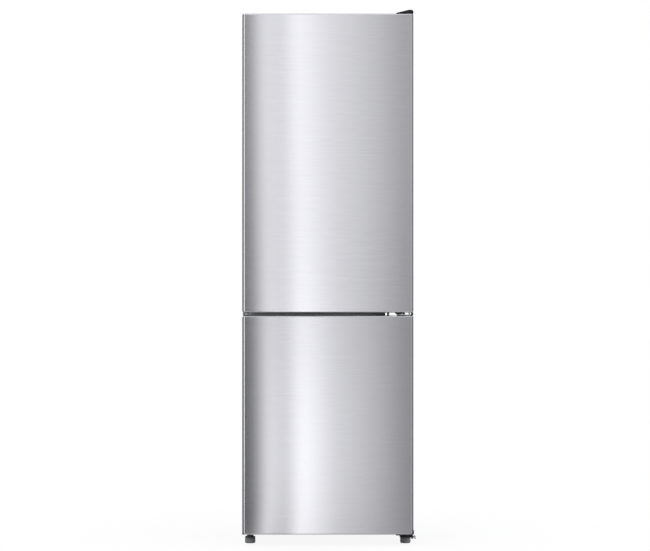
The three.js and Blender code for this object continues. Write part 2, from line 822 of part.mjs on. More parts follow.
// Fridge door: a ridge all round, with lugs inside it that the bins sit on.
const dyke = doorAir(fridgeAir[0], fridgeDoorBottom, dykeClearance);
const dykeY = [doorThickness - linerWall, doorThickness + dykeReach];
const dykeInside = (by) =>
  block(
    widened(dyke.x, by - dykeWidth),
    [0, 2 * doorThickness + dykeReach],
    widened(dyke.z, by - dykeWidth),
  );
const dykeRidge = block(dyke.x, dykeY, dyke.z).subtract(dykeInside(0));
const dykeFill = block(
  widened(dyke.x, -linerWall),
  [dykeY[0], dykeY[1] - linerWall],
  widened(dyke.z, -linerWall),
).subtract(dykeInside(linerWall));
const bins = { door_bin_bottle: binBottle, door_bin_middle: binMiddle, door_bin_dairy: binDairy };
const binEdge = dyke.x[1] - dykeWidth;
const binLugs = Object.values(bins).flatMap(({ rise }) =>
  [-1, 1].map((side) => {
    const x = [side * (binEdge - lugWidth), side * (binEdge + linerWall / 2)].sort((a, b) => a - b);
    return block(x, [doorThickness - linerWall / 2, doorThickness + lugLength], [rise - lugHeight, rise]);
  }),
);
const fridgeDoor = makeDoor("fridge_door", fridgeDoorBottom, fridgeDoorHeight, {
  ridge: dykeRidge,
  fill: dykeFill,
  extras: binLugs,
});

const binHalf = binEdge - seat;
const binY = [doorThickness + seat, doorThickness + seat + binDepth];
for (const [name, { rise, height }] of Object.entries(bins)) {
  const outer = block(evenly(binHalf), binY, [rise, rise + height]);
  const innerZ = [rise + trayWall, rise + 2 * height];
  const inner = block(evenly(binHalf - trayWall), widened(binY, -trayWall), innerZ);
  piece(fridgeDoor, name, outer.subtract(inner), clearPlastic);
}

// The dairy lid lies on its bin and turns on a rod along the door side.
const lidRise = binDairy.rise + binDairy.height + seat;
const lid = group(0, doorThickness + 2 * flapPin, lidRise + flapPin, fridgeDoor);
const lidLength = binDepth - 2 * flapPin;
piece(
  lid,
  "dairy_flap",
  joinAll([
    block(evenly(binHalf - seat), [0, lidLength], [-flapPin, flapThickness - flapPin]),
    block(evenly(binHalf - seat), [lidLength - flapThickness, lidLength], [-flapPin, flapLip - flapPin]),
    rod("x", [0, 0], flapPin, evenly(binHalf), pinSides),
  ]),
  clearPlastic,
);

// Freezer door: one raised flat field.
const field = doorAir(
  { x: freezerAir[1].x, z: [freezerFloor, freezerCeiling] },
  freezerDoorBottom,
  freezerPanelClearance,
);
const fieldY = [doorThickness - linerWall, doorThickness + freezerPanelReach];
const fieldInnerY = [fieldY[0], fieldY[1] - linerWall];
makeDoor("freezer_door", freezerDoorBottom, freezerDoorHeight, {
  ridge: block(field.x, fieldY, field.z),
  fill: block(widened(field.x, -linerWall), fieldInnerY, widened(field.z, -linerWall)),
});

// ---- Shelves ----
for (const [name, rise] of Object.entries(shelves)) {
  const z = fridgeFloor + rise;
  const across = evenly(fridgeHalf - shelfSideGap);
  const trim = (y) => block(across, y, [z - shelfTrimHeight + shelfThickness, z + shelfThickness]);
  const pane = block(across, shelfY, [z, z + shelfThickness]);
  const frontTrim = trim([shelfY[0] - shelfTrimDepth, shelfY[0]]);
  piece(cabinet, name, pane.add(frontTrim), glass);
}

// ---- Drawers ----
// A drawer is drawn from the middle of its lower front edge.
function drawer(name, halfWidth, depth, height, place) {
  const body = block(evenly(halfWidth), [0, depth], [0, height - drawerLip]);
  const room = block(
    evenly(halfWidth - trayWall),
    [drawerFrontWall, depth - trayWall],
    [trayWall, 2 * height],
  );
  const front = block(evenly(halfWidth), [0, drawerFrontWall], [0, height]);
  const recess = block(
    evenly(recessWidth / 2),
    [-past, recessDepth],
    [height - recessFromTop - recessHeight, height - recessFromTop],
  );
  piece(group(...place), name, body.subtract(room).add(front).subtract(recess), clearPlastic);
}

const crisperY = cabinetFront + crisperFront;
const crisperDepth = fridgeBack - crisperBackGap - crisperY;
const crisperHeight = crisperCoverHeight - (shelfTrimHeight - shelfThickness) - crisperTopGap;
const crisperPlace = [0, crisperY, fridgeFloor + seat];
drawer("crisper_drawer", fridgeHalf - crisperSideGap, crisperDepth, crisperHeight, crisperPlace);
for (const { name, z, depth, height } of freezerDrawers) {
  drawer(name, drawerHalf, depth, height, [0, drawerY, z + seat]);
}

// ---- Freezer's cold air: coil, motor and fan behind a cover panel ----
const airSlots = [];
for (let i = 0; i < airSlotCount; i++) {
  const z = humpTop + linerRadius + i * airSlotPitch;
  airSlots.push(block(around(0, airSlotWidth), widened(panelY, past), [z, z + airSlot]));
}
const panelZ = widened([humpTop, freezerCeiling], -seat);
const panelOutline = roundOutline(evenly(freezerHalf - seat), panelZ, linerRadius);
piece(
  cabinet,
  "evaporator_cover",
  cutAll(prism(panelOutline, "y", panelY), [
    rod("y", [0, fanZ], fanHole, widened(panelY, past), holeSides),
    ...airSlots,
  ]),
  whitePlastic,
);

const coilY = (panelBack + freezerBack) / 2;
const evaporatorZ = humpTop + evaporatorAboveHump;
const evaporatorTop = fanZ - motorRadius - evaporatorBelowFan;
const evaporatorPitch = (evaporatorTop - evaporatorZ) / (evaporatorRuns - 0.5);
const evaporatorHalf = freezerHalf - evaporatorSideGap;
const evaporatorRoute = serpentine(evaporatorHalf, coilY, evaporatorZ, evaporatorPitch, evaporatorRuns);
const platesX = evaporatorHalf - evaporatorPlateInset;
const platesY = [panelBack + evaporatorPlateGap, freezerBack];
const platesZ = [evaporatorZ - evaporatorPitch / 2, evaporatorTop];
const endPlates = [-1, 1].map((side) =>
  block(around(side * platesX, 2 * sheet), platesY, platesZ),
);
piece(
  cabinet,
  "evaporator_coil",
  joinAll([bentTube(evaporatorRoute, evaporatorTube), ...endPlates]),
  aluminium,
);

const motorY = [freezerBack - motorLength, freezerBack];
const fanY = [motorY[0] - fanGap - fanLength, motorY[0] - fanGap];
piece(
  cabinet,
  "fan_motor",
  rod("y", [0, fanZ], motorRadius, motorY).add(
    rod("y", [0, fanZ], shaftRadius, [fanY[0], motorY[0] + bond], pinSides),
  ),
  blackPlastic,
);

function fanBlade(turn) {
  const length = fanRadius - fanHub + bladeRoot;
  const blade = new THREE.BoxGeometry(length, bladeThickness, bladeChord);
  blade.rotateX(bladePitch);
  blade.translate(fanHub - bladeRoot + length / 2, 0, 0);
  blade.rotateY(turn);
  return solid(blade);
}
const fan = group(0, (fanY[0] + fanY[1]) / 2, fanZ);
const blades = [];
for (let i = 0; i < fanBlades; i++) blades.push(fanBlade((2 * Math.PI * i) / fanBlades));
const hub = rod("y", [0, 0], fanHub, around(0, fanLength));
const hubBore = rod("y", [0, 0], shaftRadius + seat, around(0, 2 * fanLength), pinSides);
piece(fan, "evaporator_fan", joinAll([hub, ...blades]).subtract(hubBore), darkPlastic);

// ---- Fridge's air duct, controls and lamp ----
const ductZ = [fridgeFloor + ductRise, fridgeCeiling - ductFromCeiling];
const ductY = [fridgeBack - ductDepth, fridgeBack];
const ductSlots = Object.values(shelfHeights).map((rise) =>
  block(around(0, ductSlotWidth), widened(ductY, past), around(fridgeFloor + rise + ductSlotWidth, airSlot)),
);
piece(
  cabinet,
  "fridge_air_duct",
  cutAll(block(around(0, ductWidth), ductY, ductZ), [
    block(
      around(0, ductWidth - 2 * linerWall),
      [ductY[0] + linerWall, ductY[1]],
      widened(ductZ, -linerWall),
    ),
    ...ductSlots,
  ]),
  whitePlastic,
);

const housingY = [cabinetFront + housingFront, cabinetFront + housingFront + housingLength];
const housingZ = [fridgeCeiling - housingHeight, fridgeCeiling];
const knobAt = [housingWidth / 2 - knobFromEnd, (housingZ[0] + housingZ[1]) / 2];
piece(
  cabinet,
  "control_housing",
  cutAll(block(around(0, housingWidth), housingY, housingZ), [
    block(
      around(0, housingWidth - 2 * housingWall),
      widened(housingY, -housingWall),
      [housingZ[0] + housingWall, housingZ[1]],
    ),
    rod("y", knobAt, knobShaft + seat, around(housingY[0], 4 * housingWall), pinSides),
  ]),
  whitePlastic,
);
const lampY = around((housingY[0] + housingY[1]) / 2, lampLength);
const lampZ = [housingZ[0] - lampHeight, housingZ[0]];
piece(
  cabinet,
  "lamp_cover",
  prism(roundOutline(around(0, lampWidth), lampY, lampHeight), "z", lampZ),
  clearPlastic,
);

const knob = group(knobAt[0], housingY[0], knobAt[1]);
const knobFace = -knobLength - seat;
piece(
  knob,
  "thermostat_knob",
  joinAll([
    rod("y", [0, 0], knobRadius, [knobFace, -seat], wheelSides),
    rod("y", [0, 0], knobShaft, [-bond, knobShaftLength], pinSides),
    block(around(0, knobMark), [knobFace - knobMark, knobFace + bond], [0, knobRadius - knobMark]),
  ]),
  whitePlastic,
);

// ---- Machine compartment ----
const compressorX = half - compressorFromSide;
const compressorY = cabinetBack - compressorFromBack;
const compressorHeight = machineHeight - compressorLift - seat - dripTrayHeight - trayHeadroom;
const shellBottom = baseTop + compressorLift;
const shellTop = shellBottom + compressorHeight;
const shellProfile = [[0, 0]];
for (let i = 0; i <= domeSteps; i++) {
  const turn = ((Math.PI / 2) * i) / domeSteps;
  const r = compressorRadius - domeInset * (1 - Math.sin(turn));
  shellProfile.push([r, domeHeight * (1 - Math.cos(turn))]);
}
const upper = shellProfile.slice(1).reverse();
for (const [r, z] of upper) shellProfile.push([r, compressorHeight - z]);
shellProfile.push([0, compressorHeight]);
const shell = new THREE.LatheGeometry(shellProfile.map(([r, z]) => new THREE.Vector2(r, z)), shellSides);
shell.rotateX(Math.PI / 2);
shell.translate(compressorX, compressorY, shellBottom);
const footPlate = block(
  around(compressorX, 2 * compressorPlateHalf),
  around(compressorY, 2 * compressorPlateHalf),
  [shellBottom - compressorPlate, shellBottom + bond],
);
const rubberFeet = [-1, 1].flatMap((i) =>
  [-1, 1].map((k) => {
    const at = [
      compressorX + i * (compressorPlateHalf - rubberRadius),
      compressorY + k * (compressorPlateHalf - rubberRadius),
    ];
    return rod("z", at, rubberRadius, [baseTop, shellBottom], hoseSides);
  }),
);
piece(cabinet, "compressor", joinAll([solid(shell), footPlate, ...rubberFeet]), blackEnamel);

const trayX = around(compressorX, dripTrayWidth);
const trayY = around(compressorY, dripTrayLength);
const trayZ = [shellTop + seat, shellTop + seat + dripTrayHeight];
piece(
  cabinet,
  "drip_tray",
  block(trayX, trayY, trayZ).subtract(
    block(widened(trayX, -linerWall), widened(trayY, -linerWall), [trayZ[0] + linerWall, trayZ[1] + past]),
  ),
  darkPlastic,
);

const hoseX = trayX[0] + hoseFromTrayEnd;
const hoseZ = machineTop - hoseRadius - hoseGap;
const hoseEndY = trayY[0] + 2 * hoseBend;
const hoseRoute = [
  { at: [hoseX, machineFront, hoseZ] },
  { at: [hoseX, hoseEndY, hoseZ], bend: hoseBend },
  { at: [hoseX, hoseEndY, trayZ[0] + 2 * linerWall] },
];
piece(
  cabinet,
  "drain_hose",
  bentTube(hoseRoute, hoseRadius, hoseSides).subtract(bentTube(hoseRoute, hoseBore, hoseSides)),
  darkPlastic,
);

// The condenser: one tube to and fro over the back, with a lead into the compartment at each end.
const condenserY = cabinetBack + coilStandoff;
const leadY = cabinetBack - coilStandoff;
const leadTop = machineTop - coilStandoff;
const leadEnd = leadTop - leadLength;
const coilHalf = half - coilFromSide;
const riserX = half - riserFromSide;
const condenserZ = baseHeight + coilRise;
const condenserTop = condenserZ + (coilRuns - 1) * coilPitch;
const lead = (x) => [
  { at: [x, condenserY, leadTop], bend: leadBend },
  { at: [x, leadY, leadTop], bend: leadBend },
  { at: [x, leadY, leadEnd] },
];
const condenserRoute = serpentine(coilHalf, condenserY, condenserZ, coilPitch, coilRuns);
condenserRoute[0].bend = leadBend;
condenserRoute[condenserRoute.length - 1] = { at: [riserX, condenserY, condenserTop], bend: leadBend };
const strapZ = widened([condenserZ, condenserTop], strapPast);
const coilStraps = [-1, 1].flatMap((side) => {
  const x = side * (coilHalf - strapInset);
  const strap = block(around(x, strapWidth), [condenserY - 2 * sheet, condenserY], strapZ);
  const standoffs = strapZ.map((z) =>
    block(around(x, strapWidth), [cabinetBack, condenserY - sheet], around(z, strapWidth)),
  );
  return [strap, ...standoffs];
});
const condenserTube = bentTube(
  [...lead(-coilHalf).reverse(), ...condenserRoute, ...lead(riserX)],
  coilTube,
);
piece(cabinet, "condenser_coil", joinAll([condenserTube, ...coilStraps]), blackEnamel);

const drierZ = [leadEnd - seat - drierLength, leadEnd - seat];
piece(cabinet, "filter_drier", rod("z", [-coilHalf, leadY], drierRadius, drierZ), copper);

const inletX = -half + inletFromSide;
const inletY = [cabinetBack - sheet - inletDepth, cabinetBack - sheet];
const inletZ = [baseTop, baseTop + inletHeight];
piece(
  cabinet,
  "mains_inlet",
  block(around(inletX, inletWidth), inletY, inletZ).subtract(
    block(
      around(inletX, socketWidth),
      [inletY[0] + inletWall, inletY[1] + past],
      around((inletZ[0] + inletZ[1]) / 2, socketHeight),
    ),
  ),
  blackPlastic,
);

// ---- Wall spacers ----
for (const [name, side] of [["wall_spacer_left", -1], ["wall_spacer_right", 1]]) {
  const x = side * (half - spacerFromSide);
  const outline = roundOutline(
    around(x, spacerWidth),
    around(cabinetTop - spacerFromTop, spacerHeight),
    spacerCorner,
  );
  piece(cabinet, name, prism(outline, "y", [cabinetBack, cabinetBack + spacerDepth]), blackPlastic);
}

export default refrigerator;
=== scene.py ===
import json
import math

import bmesh
import bpy
from bpy.props import FloatProperty, FloatVectorProperty, PointerProperty
from mathutils import Matrix, Vector

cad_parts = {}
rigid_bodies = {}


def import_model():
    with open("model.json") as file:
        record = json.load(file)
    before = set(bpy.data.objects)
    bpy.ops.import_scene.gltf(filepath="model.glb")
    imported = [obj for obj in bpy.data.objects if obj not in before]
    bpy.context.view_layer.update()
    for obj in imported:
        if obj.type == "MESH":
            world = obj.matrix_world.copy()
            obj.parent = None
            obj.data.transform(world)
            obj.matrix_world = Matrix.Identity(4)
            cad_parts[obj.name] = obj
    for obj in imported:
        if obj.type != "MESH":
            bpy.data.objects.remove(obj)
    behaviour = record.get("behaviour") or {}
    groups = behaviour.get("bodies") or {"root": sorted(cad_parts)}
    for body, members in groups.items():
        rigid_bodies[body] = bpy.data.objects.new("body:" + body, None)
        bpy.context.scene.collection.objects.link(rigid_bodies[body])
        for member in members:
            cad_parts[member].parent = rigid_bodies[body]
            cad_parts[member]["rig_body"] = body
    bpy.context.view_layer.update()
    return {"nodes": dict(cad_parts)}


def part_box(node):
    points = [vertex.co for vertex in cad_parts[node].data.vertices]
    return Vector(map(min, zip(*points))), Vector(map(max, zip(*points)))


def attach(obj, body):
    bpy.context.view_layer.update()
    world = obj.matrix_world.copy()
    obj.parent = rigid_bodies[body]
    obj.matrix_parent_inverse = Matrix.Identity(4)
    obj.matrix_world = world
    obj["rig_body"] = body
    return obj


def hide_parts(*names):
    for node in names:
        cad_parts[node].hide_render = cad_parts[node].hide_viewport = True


bl_info = {
    "name": "Bottom freezer refrigerator",
    "version": (1, 0, 0),
    "blender": (4, 5, 0),
    "location": "View3D > Sidebar > Refrigerator",
    "description": "Dresses the packed refrigerator in its finished pieces, and lights it",
    "category": "Object",
}

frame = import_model()

MM = 0.001  # sizes below are in millimetres, and meshes are made in metres
NEAR = 0.01  # how close to a plane counts as lying in it
AXES = {"x": 0, "y": 1, "z": 2}
SHELVES = ("shelf_lower", "shelf_middle", "shelf_upper", "crisper_cover")
BINS = {  # each CAD node and the name of its piece
    "door_bin_bottle": "bottle_bin",
    "door_bin_middle": "middle_bin",
    "door_bin_dairy": "dairy_bin",
}


# ---- Sizes and colours that a user would change ----
def linear(hexa):
    """An sRGB hex colour as linear red, green, blue and alpha."""
    parts = [int(hexa[i : i + 2], 16) / 255 for i in (1, 3, 5)]
    return (*[c / 12.92 if c <= 0.04045 else ((c + 0.055) / 1.055) ** 2.4 for c in parts], 1.0)


def colour(name, hexa):
    """A colour in the panel, from its sRGB hex."""
    return FloatVectorProperty(
        name=name, description=f"Colour of the {name.lower()}", subtype="COLOR", size=4,
        min=0, max=1, default=linear(hexa),
    )


def length(name, description, millimetres):
    """A length in the panel."""
    return FloatProperty(
        name=name, description=description, unit="LENGTH", min=0, default=millimetres * MM
    )


class RefrigeratorColours(bpy.types.PropertyGroup):
    steel: colour("Brushed steel", "#D8D8DC")
    lower_steel: colour("Lower door's steel", "#CDCDD1")
    casing: colour("Casing paint", "#8E9094")
    # the cross rail's paint is made lighter than the casing's: painted light for the shaded gap
    rail: colour("Cross rail", "#D4D5D8")
    # the dark grey on the doors' sides and hems is painted shade
    painted_shade_grey: colour("Door sides", "#5C5E62")
    zinc: colour("Zinc plate", "#B7B9BB")
    dark: colour("Dark plastic", "#3E3F42")
    foot: colour("Feet", "#727278")
    black: colour("Black plastic", "#141416")
    white: colour("White plastic", "#EEF0F1")
    rubber: colour("Door seal", "#C3C5C8")
    clear: colour("Clear plastic", "#DEE7EB")
    glass: colour("Shelf glass", "#CFE4DE")
    copper: colour("Copper", "#C07A50")
    insulation: colour("Insulation", "#E3CF8F")


class RefrigeratorSizes(bpy.types.PropertyGroup):
    door_corner: length("Door corner", "Radius of a door's upright edges", 10)
    door_hem: length("Door hem", "Radius of a door's level edges", 6)
    skin: length("Skin", "Thickness of the steel sheet", 1)
    liner_corner: length("Liner corner", "Radius inside the compartments", 20)
    wire: length("Condenser wire", "Radius of the wires on the condenser", 0.8)
    wire_pitch: length("Wire pitch", "Distance between the condenser's wires", 9)


def size(name):
    """A size from the panel, in millimetres."""
    return getattr(bpy.context.scene.refrigerator_sizes, name) / MM


# ---- Shapes ----
def span(node):
    """A CAD node's reach on each axis, in millimetres."""
    low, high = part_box(node)
    return [[low[i] / MM, high[i] / MM] for i in range(3)]


def inset(reach, by):
    """A reach made shorter at both ends."""
    return [reach[0] + by, reach[1] - by]


def around(centre, width):
    """A reach about its centre."""
    return [centre - width / 2, centre + width / 2]


def middle(reach):
    """The centre of a reach."""
    return (reach[0] + reach[1]) / 2


def evenly(reach, count):
    """Evenly spaced places from one end of a reach to the other."""
    return [reach[0] + k * (reach[1] - reach[0]) / (count - 1) for k in range(count)]


def both_sides(near, far):
    """The reaches between two distances from the middle, on the left and on the right."""
    return [sorted([side * near, side * far]) for side in (-1, 1)]


def within(value, reach, spare=NEAR):
    """Whether a value lies in a reach, or past its ends by no more than the spare."""
    return reach[0] - spare <= value <= reach[1] + spare


def inside(point, x, z, spare=NEAR):
    """Whether a point lies within a reach on X and one on Z."""
    return within(point.x, x, spare) and within(point.z, z, spare)


def lies_at(edge, axis, at):
    """Whether both ends of an edge are at a place on an axis."""
    return all(abs(v.co[AXES[axis]] - at) < NEAR for v in edge.verts)


def place(axis, at, u, v):
    """The point at a place on one axis, and at u and v on the other two, in their order."""
    point = [u, v]
    point.insert(AXES[axis], at)
    return point


def quarter(steps):
    """The angles from nothing to a quarter turn."""
    return [math.pi / 2 * k / steps for k in range(steps + 1)]


def bevel(bm, edges, radius, steps):
    """Rounds the edges."""
    bmesh.ops.bevel(
        bm, geom=list(edges), offset=radius, offset_type="OFFSET", segments=steps, profile=0.5,
        affect="EDGES", clamp_overlap=True, material=-1,
    )


def slab(bm, x, y, z, radius=0.0, steps=3, along="xyz"):
    """A block between two places on each axis. Its edges along the named axes are rounded."""
    verts = bmesh.ops.create_cube(bm, size=1)["verts"]
    bmesh.ops.scale(bm, vec=[r[1] - r[0] for r in (x, y, z)], verts=verts)
    bmesh.ops.translate(bm, vec=[middle(r) for r in (x, y, z)], verts=verts)
    if radius:
        axes = [AXES[a] for a in along]
        chosen = [
            e for e in {e for v in verts for e in v.link_edges}
            if max(range(3), key=lambda i: abs((e.verts[0].co - e.verts[1].co)[i])) in axes
        ]
        bevel(bm, chosen, radius, steps)


def ring(bm, axis, at, u, v, radius, steps=5):
    """A closed loop of edges with rounded corners, across one axis."""
    radius = max(radius, 0.05)
    verts = []
    for i, (cu, cv) in enumerate(
        [(u[1] - radius, v[1] - radius), (u[0] + radius, v[1] - radius),
         (u[0] + radius, v[0] + radius), (u[1] - radius, v[0] + radius)]
    ):
        for k in range(steps + 1):
            turn = math.pi / 2 * (i + k / steps)
            point = place(axis, at, cu + radius * math.cos(turn), cv + radius * math.sin(turn))
            verts.append(bm.verts.new(point))
    return [bm.edges.new(pair) for pair in zip(verts, verts[1:] + verts[:1])]


def rings(bm, axis, u, v, places, steps=5):
    """One outline at several places, each with how far it is inset and its corner radius."""
    return [
        ring(bm, axis, at, inset(u, into), inset(v, into), radius, steps)
        for at, into, radius in places
    ]


def loft(bm, loops, start=True, end=True, closed=False):
    """Bridges each loop of edges to the next, and closes the ends."""
    for a, b in zip(loops, loops[1:] + (loops[:1] if closed else [])):
        bmesh.ops.bridge_loops(bm, edges=a + b)
    if start and not closed:
        bmesh.ops.edgeloop_fill(bm, edges=loops[0])
    if end and not closed:
        bmesh.ops.edgeloop_fill(bm, edges=loops[-1])


def turned(bm, axis, centre, profile, sides=24):
    """A lathe shape. Its profile gives the radius and the place along the axis."""
    u, v = centre
    verts = [bm.verts.new(place(axis, at, u + r, v)) for r, at in profile]
    edges = [bm.edges.new(pair) for pair in zip(verts, verts[1:])]
    bmesh.ops.spin(
        bm, geom=verts + edges, cent=place(axis, 0, u, v), axis=place(axis, 1, 0, 0),
        angle=2 * math.pi, steps=sides, use_merge=True,
    )
    bmesh.ops.remove_doubles(bm, verts=bm.verts[:], dist=0.001)


def rod(bm, axis, centre, radius, reach, sides=20, rim=0.4):
    """A round bar with softened rims."""
    a, b = reach
    slim = radius - rim
    profile = [(0, a), (slim, a), (radius, a + rim), (radius, b - rim), (slim, b), (0, b)]
    turned(bm, axis, centre, profile, sides)


def screw(bm, axis, centre, at, out=1, radius=3.6):
    """A pan-head screw with a small socket, standing out of a face."""
    profile = [(0, -0.6), (radius, -0.6), (radius, 0.5), (radius * 0.86, 1.4), (radius * 0.5, 1.9),
               (radius * 0.34, 1.9), (radius * 0.26, 0.9), (0, 0.8)]
    turned(bm, axis, centre, [(r, at + out * a) for r, a in profile], 12)


def bent(corners, bend, steps=6):
    """The points of a path with rounded corners."""
    corners = [Vector(c) for c in corners]
    points = [corners[0]]
    for before, corner, after in zip(corners, corners[1:], corners[2:]):
        start = corner + (before - corner).normalized() * bend
        stop = corner + (after - corner).normalized() * bend
        for k in range(steps + 1):
            t = k / steps
            points.append((1 - t) ** 2 * start + 2 * t * (1 - t) * corner + t * t * stop)
    return points + [corners[-1]]


def pipe(bm, points, radius, resolution=2):
    """A round tube along a path."""
    line = bpy.data.curves.new("path", "CURVE")
    line.dimensions = "3D"
    line.bevel_depth = radius
    line.bevel_resolution = resolution
    line.use_fill_caps = True
    spline = line.splines.new("POLY")
    spline.points.add(len(points) - 1)
    for knot, at in zip(spline.points, points):
        knot.co = (*at, 1)
    holder = bpy.data.objects.new("path", line)
    mesh = bpy.data.meshes.new_from_object(holder)
    bm.from_mesh(mesh)
    bpy.data.objects.remove(holder)
    bpy.data.curves.remove(line)
    bpy.data.meshes.remove(mesh)


RIM = 4.4  # height of the frosted rim of a bin or a tub


def vessel(bm, x, y, z, wall, corner, base=5.0):
    """An open box of thin wall, with rounded corners and base, and a thicker rim."""
    rim, step = 3.0, 1.2  # the rim's height, and how far the wall below it is set back
    curve = [(base * (1 - math.cos(t)), step + base * (1 - math.sin(t))) for t in quarter(4)]
    outer = [(z[0] + up, into) for up, into in curve]
    outer += [(z[1] - rim - step, step), (z[1] - rim, 0.2), (z[1] - 0.6, 0), (z[1], 0.6)]
    inner = [(z[0] + wall + up, wall + into) for up, into in curve]
    inner += [(z[1] - 0.5, wall + step), (z[1], wall + step - 0.5)]
    places = [(at, into, corner - into) for at, into in outer + inner[::-1]]
    loft(bm, rings(bm, "z", x, y, places))


def cut_lines(bm, axis, places):
    """Cuts all faces across one axis, at each place."""
    for at in places:
        bmesh.ops.bisect_plane(
            bm, geom=bm.verts[:] + bm.edges[:] + bm.faces[:], dist=0.001,
            plane_co=place(axis, at, 0, 0), plane_no=place(axis, 1, 0, 0),
        )


def push(bm, chosen, by):
    """Moves the faces that the test picks, with new walls round them."""
    faces = [f for f in bm.faces if chosen(f.calc_center_median())]
    made = bmesh.ops.extrude_face_region(bm, geom=faces)["geom"]
    verts = [g for g in made if isinstance(g, bmesh.types.BMVert)]
    bmesh.ops.translate(bm, vec=by, verts=verts)
    bmesh.ops.delete(bm, geom=[f for f in faces if f.is_valid], context="FACES_ONLY")


def sharp_edges(bm, test=lambda p: True, angle=35):
    """The edges whose faces meet at more than the angle, where their middle passes the test."""
    bm.normal_update()
    return [
        e for e in bm.edges
        if e.is_manifold and e.calc_face_angle(0) > math.radians(angle)
        and test((e.verts[0].co + e.verts[1].co) / 2)
    ]


def tint(bm, chosen):
    """Gives the faces that the test picks the second of the piece's finishes."""
    bm.normal_update()
    for face in bm.faces:
        if chosen(face.calc_center_median(), face.normal):
            face.material_index = 1


FINISH = {}  # every material by its plain name, made before the first piece


def settle(bm, name, finishes, body, replaces=(), smooth=35, wall=0.0, inward=False):
    """Makes the mesh in metres. It replaces the named CAD nodes and rides on the body."""
    bmesh.ops.recalc_face_normals(bm, faces=bm.faces[:])
    if inward:
        bmesh.ops.reverse_faces(bm, faces=bm.faces[:])
    bmesh.ops.scale(bm, vec=(MM, MM, MM), verts=bm.verts[:])
    mesh = bpy.data.meshes.new(name)
    bm.to_mesh(mesh)
    bm.free()
    mesh.shade_smooth()
    mesh.set_sharp_from_angle(angle=math.radians(smooth))
    for finish in finishes if isinstance(finishes, list) else [finishes]:
        mesh.materials.append(FINISH[finish])
    made = bpy.data.objects.new(name, mesh)
    bpy.context.scene.collection.objects.link(made)
    if wall:
        thick = made.modifiers.new("Wall", "SOLIDIFY")
        thick.thickness = wall * MM
        thick.offset = -1
    weighted = made.modifiers.new("Flat faces", "WEIGHTED_NORMAL")
    weighted.keep_sharp = True
    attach(made, body)
    if replaces:
        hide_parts(*replaces)
    return made


def blocks(name, finish, body, parts, replaces=()):
    """A piece of rounded blocks. Each has its reach on X, Y and Z, its corner and its steps."""
    bm = bmesh.new()
    for part in parts:
        slab(bm, *part)
    settle(bm, name, finish, body, replaces)


def softened(node, name, finish, radius=0.8, steps=2, angle=40):
    """A CAD node's own form with rounded edges."""
    bm = bmesh.new()
    bm.from_mesh(frame["nodes"][node].data)
    bmesh.ops.scale(bm, vec=(1 / MM,) * 3, verts=bm.verts[:])
    bmesh.ops.remove_doubles(bm, verts=bm.verts[:], dist=0.01)
    bmesh.ops.dissolve_limit(
        bm, angle_limit=math.radians(1), use_dissolve_boundaries=False,
        verts=bm.verts[:], edges=bm.edges[:],
    )
    bevel(bm, sharp_edges(bm, angle=angle), radius, steps)
    settle(bm, name, finish, frame["nodes"][node]["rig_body"], (node,))


# ---- Materials ----
def feed(tree, node, inputs):
    """Gives a node's inputs their values, or links them to a socket or a node's first output."""
    for key, value in inputs.items():
        if isinstance(value, bpy.types.Node):
            value = value.outputs[0]
        if isinstance(value, bpy.types.NodeSocket):
            tree.links.new(value, node.inputs[key])
        else:
            node.inputs[key].default_value = value
    return node


def add_node(tree, kind, inputs=None, **settings):
    """Adds a node, sets it, and feeds its inputs."""
    node = tree.nodes.new(kind)
    for key, value in settings.items():
        setattr(node, key, value)
    return feed(tree, node, inputs or {})


def fresh(name):
    """A new material, its tree, its shader and the object's own coordinates."""
    made = bpy.data.materials.new(name)
    made.use_nodes = True
    tree = made.node_tree
    at = add_node(tree, "ShaderNodeTexCoord").outputs["Object"]
    return made, tree, tree.nodes["Principled BSDF"], at


def shaded(base, by):
    """A colour made lighter or darker."""
    return (*[min(1, c * by) for c in base[:3]], 1)


def grained(name, base, roughness, grain, depth, mottle=0.04, swing=0.06, **sockets):
    """A fine grain and a faint unevenness of tone. Grain and depth are in millimetres."""
    made, tree, shader, at = fresh(name)
    fine, broad = [
        add_node(
            tree, "ShaderNodeTexNoise", {"Vector": at, "Scale": 1 / (wide * MM), "Detail": detail}
        )
        for wide, detail in ((grain, 2), (90, 3))
    ]
    tone = add_node(
        tree, "ShaderNodeMix",
        {"Factor": broad, 6: shaded(base, 1 - mottle), 7: shaded(base, 1 + mottle)},
        data_type="RGBA",
    )
    rough = add_node(
        tree, "ShaderNodeMapRange",
        {"Value": fine, "From Min": 0.3, "From Max": 0.7, "To Min": roughness - swing,
         "To Max": roughness + swing},
    )
    bump = add_node(
        tree, "ShaderNodeBump", {"Height": fine, "Strength": 0.5, "Distance": depth * MM}
    )
    feed(tree, shader, {"Base Color": tone.outputs[2], "Roughness": rough, "Normal": bump})
    feed(tree, shader, {key.replace("_", " "): value for key, value in sockets.items()})
    return made


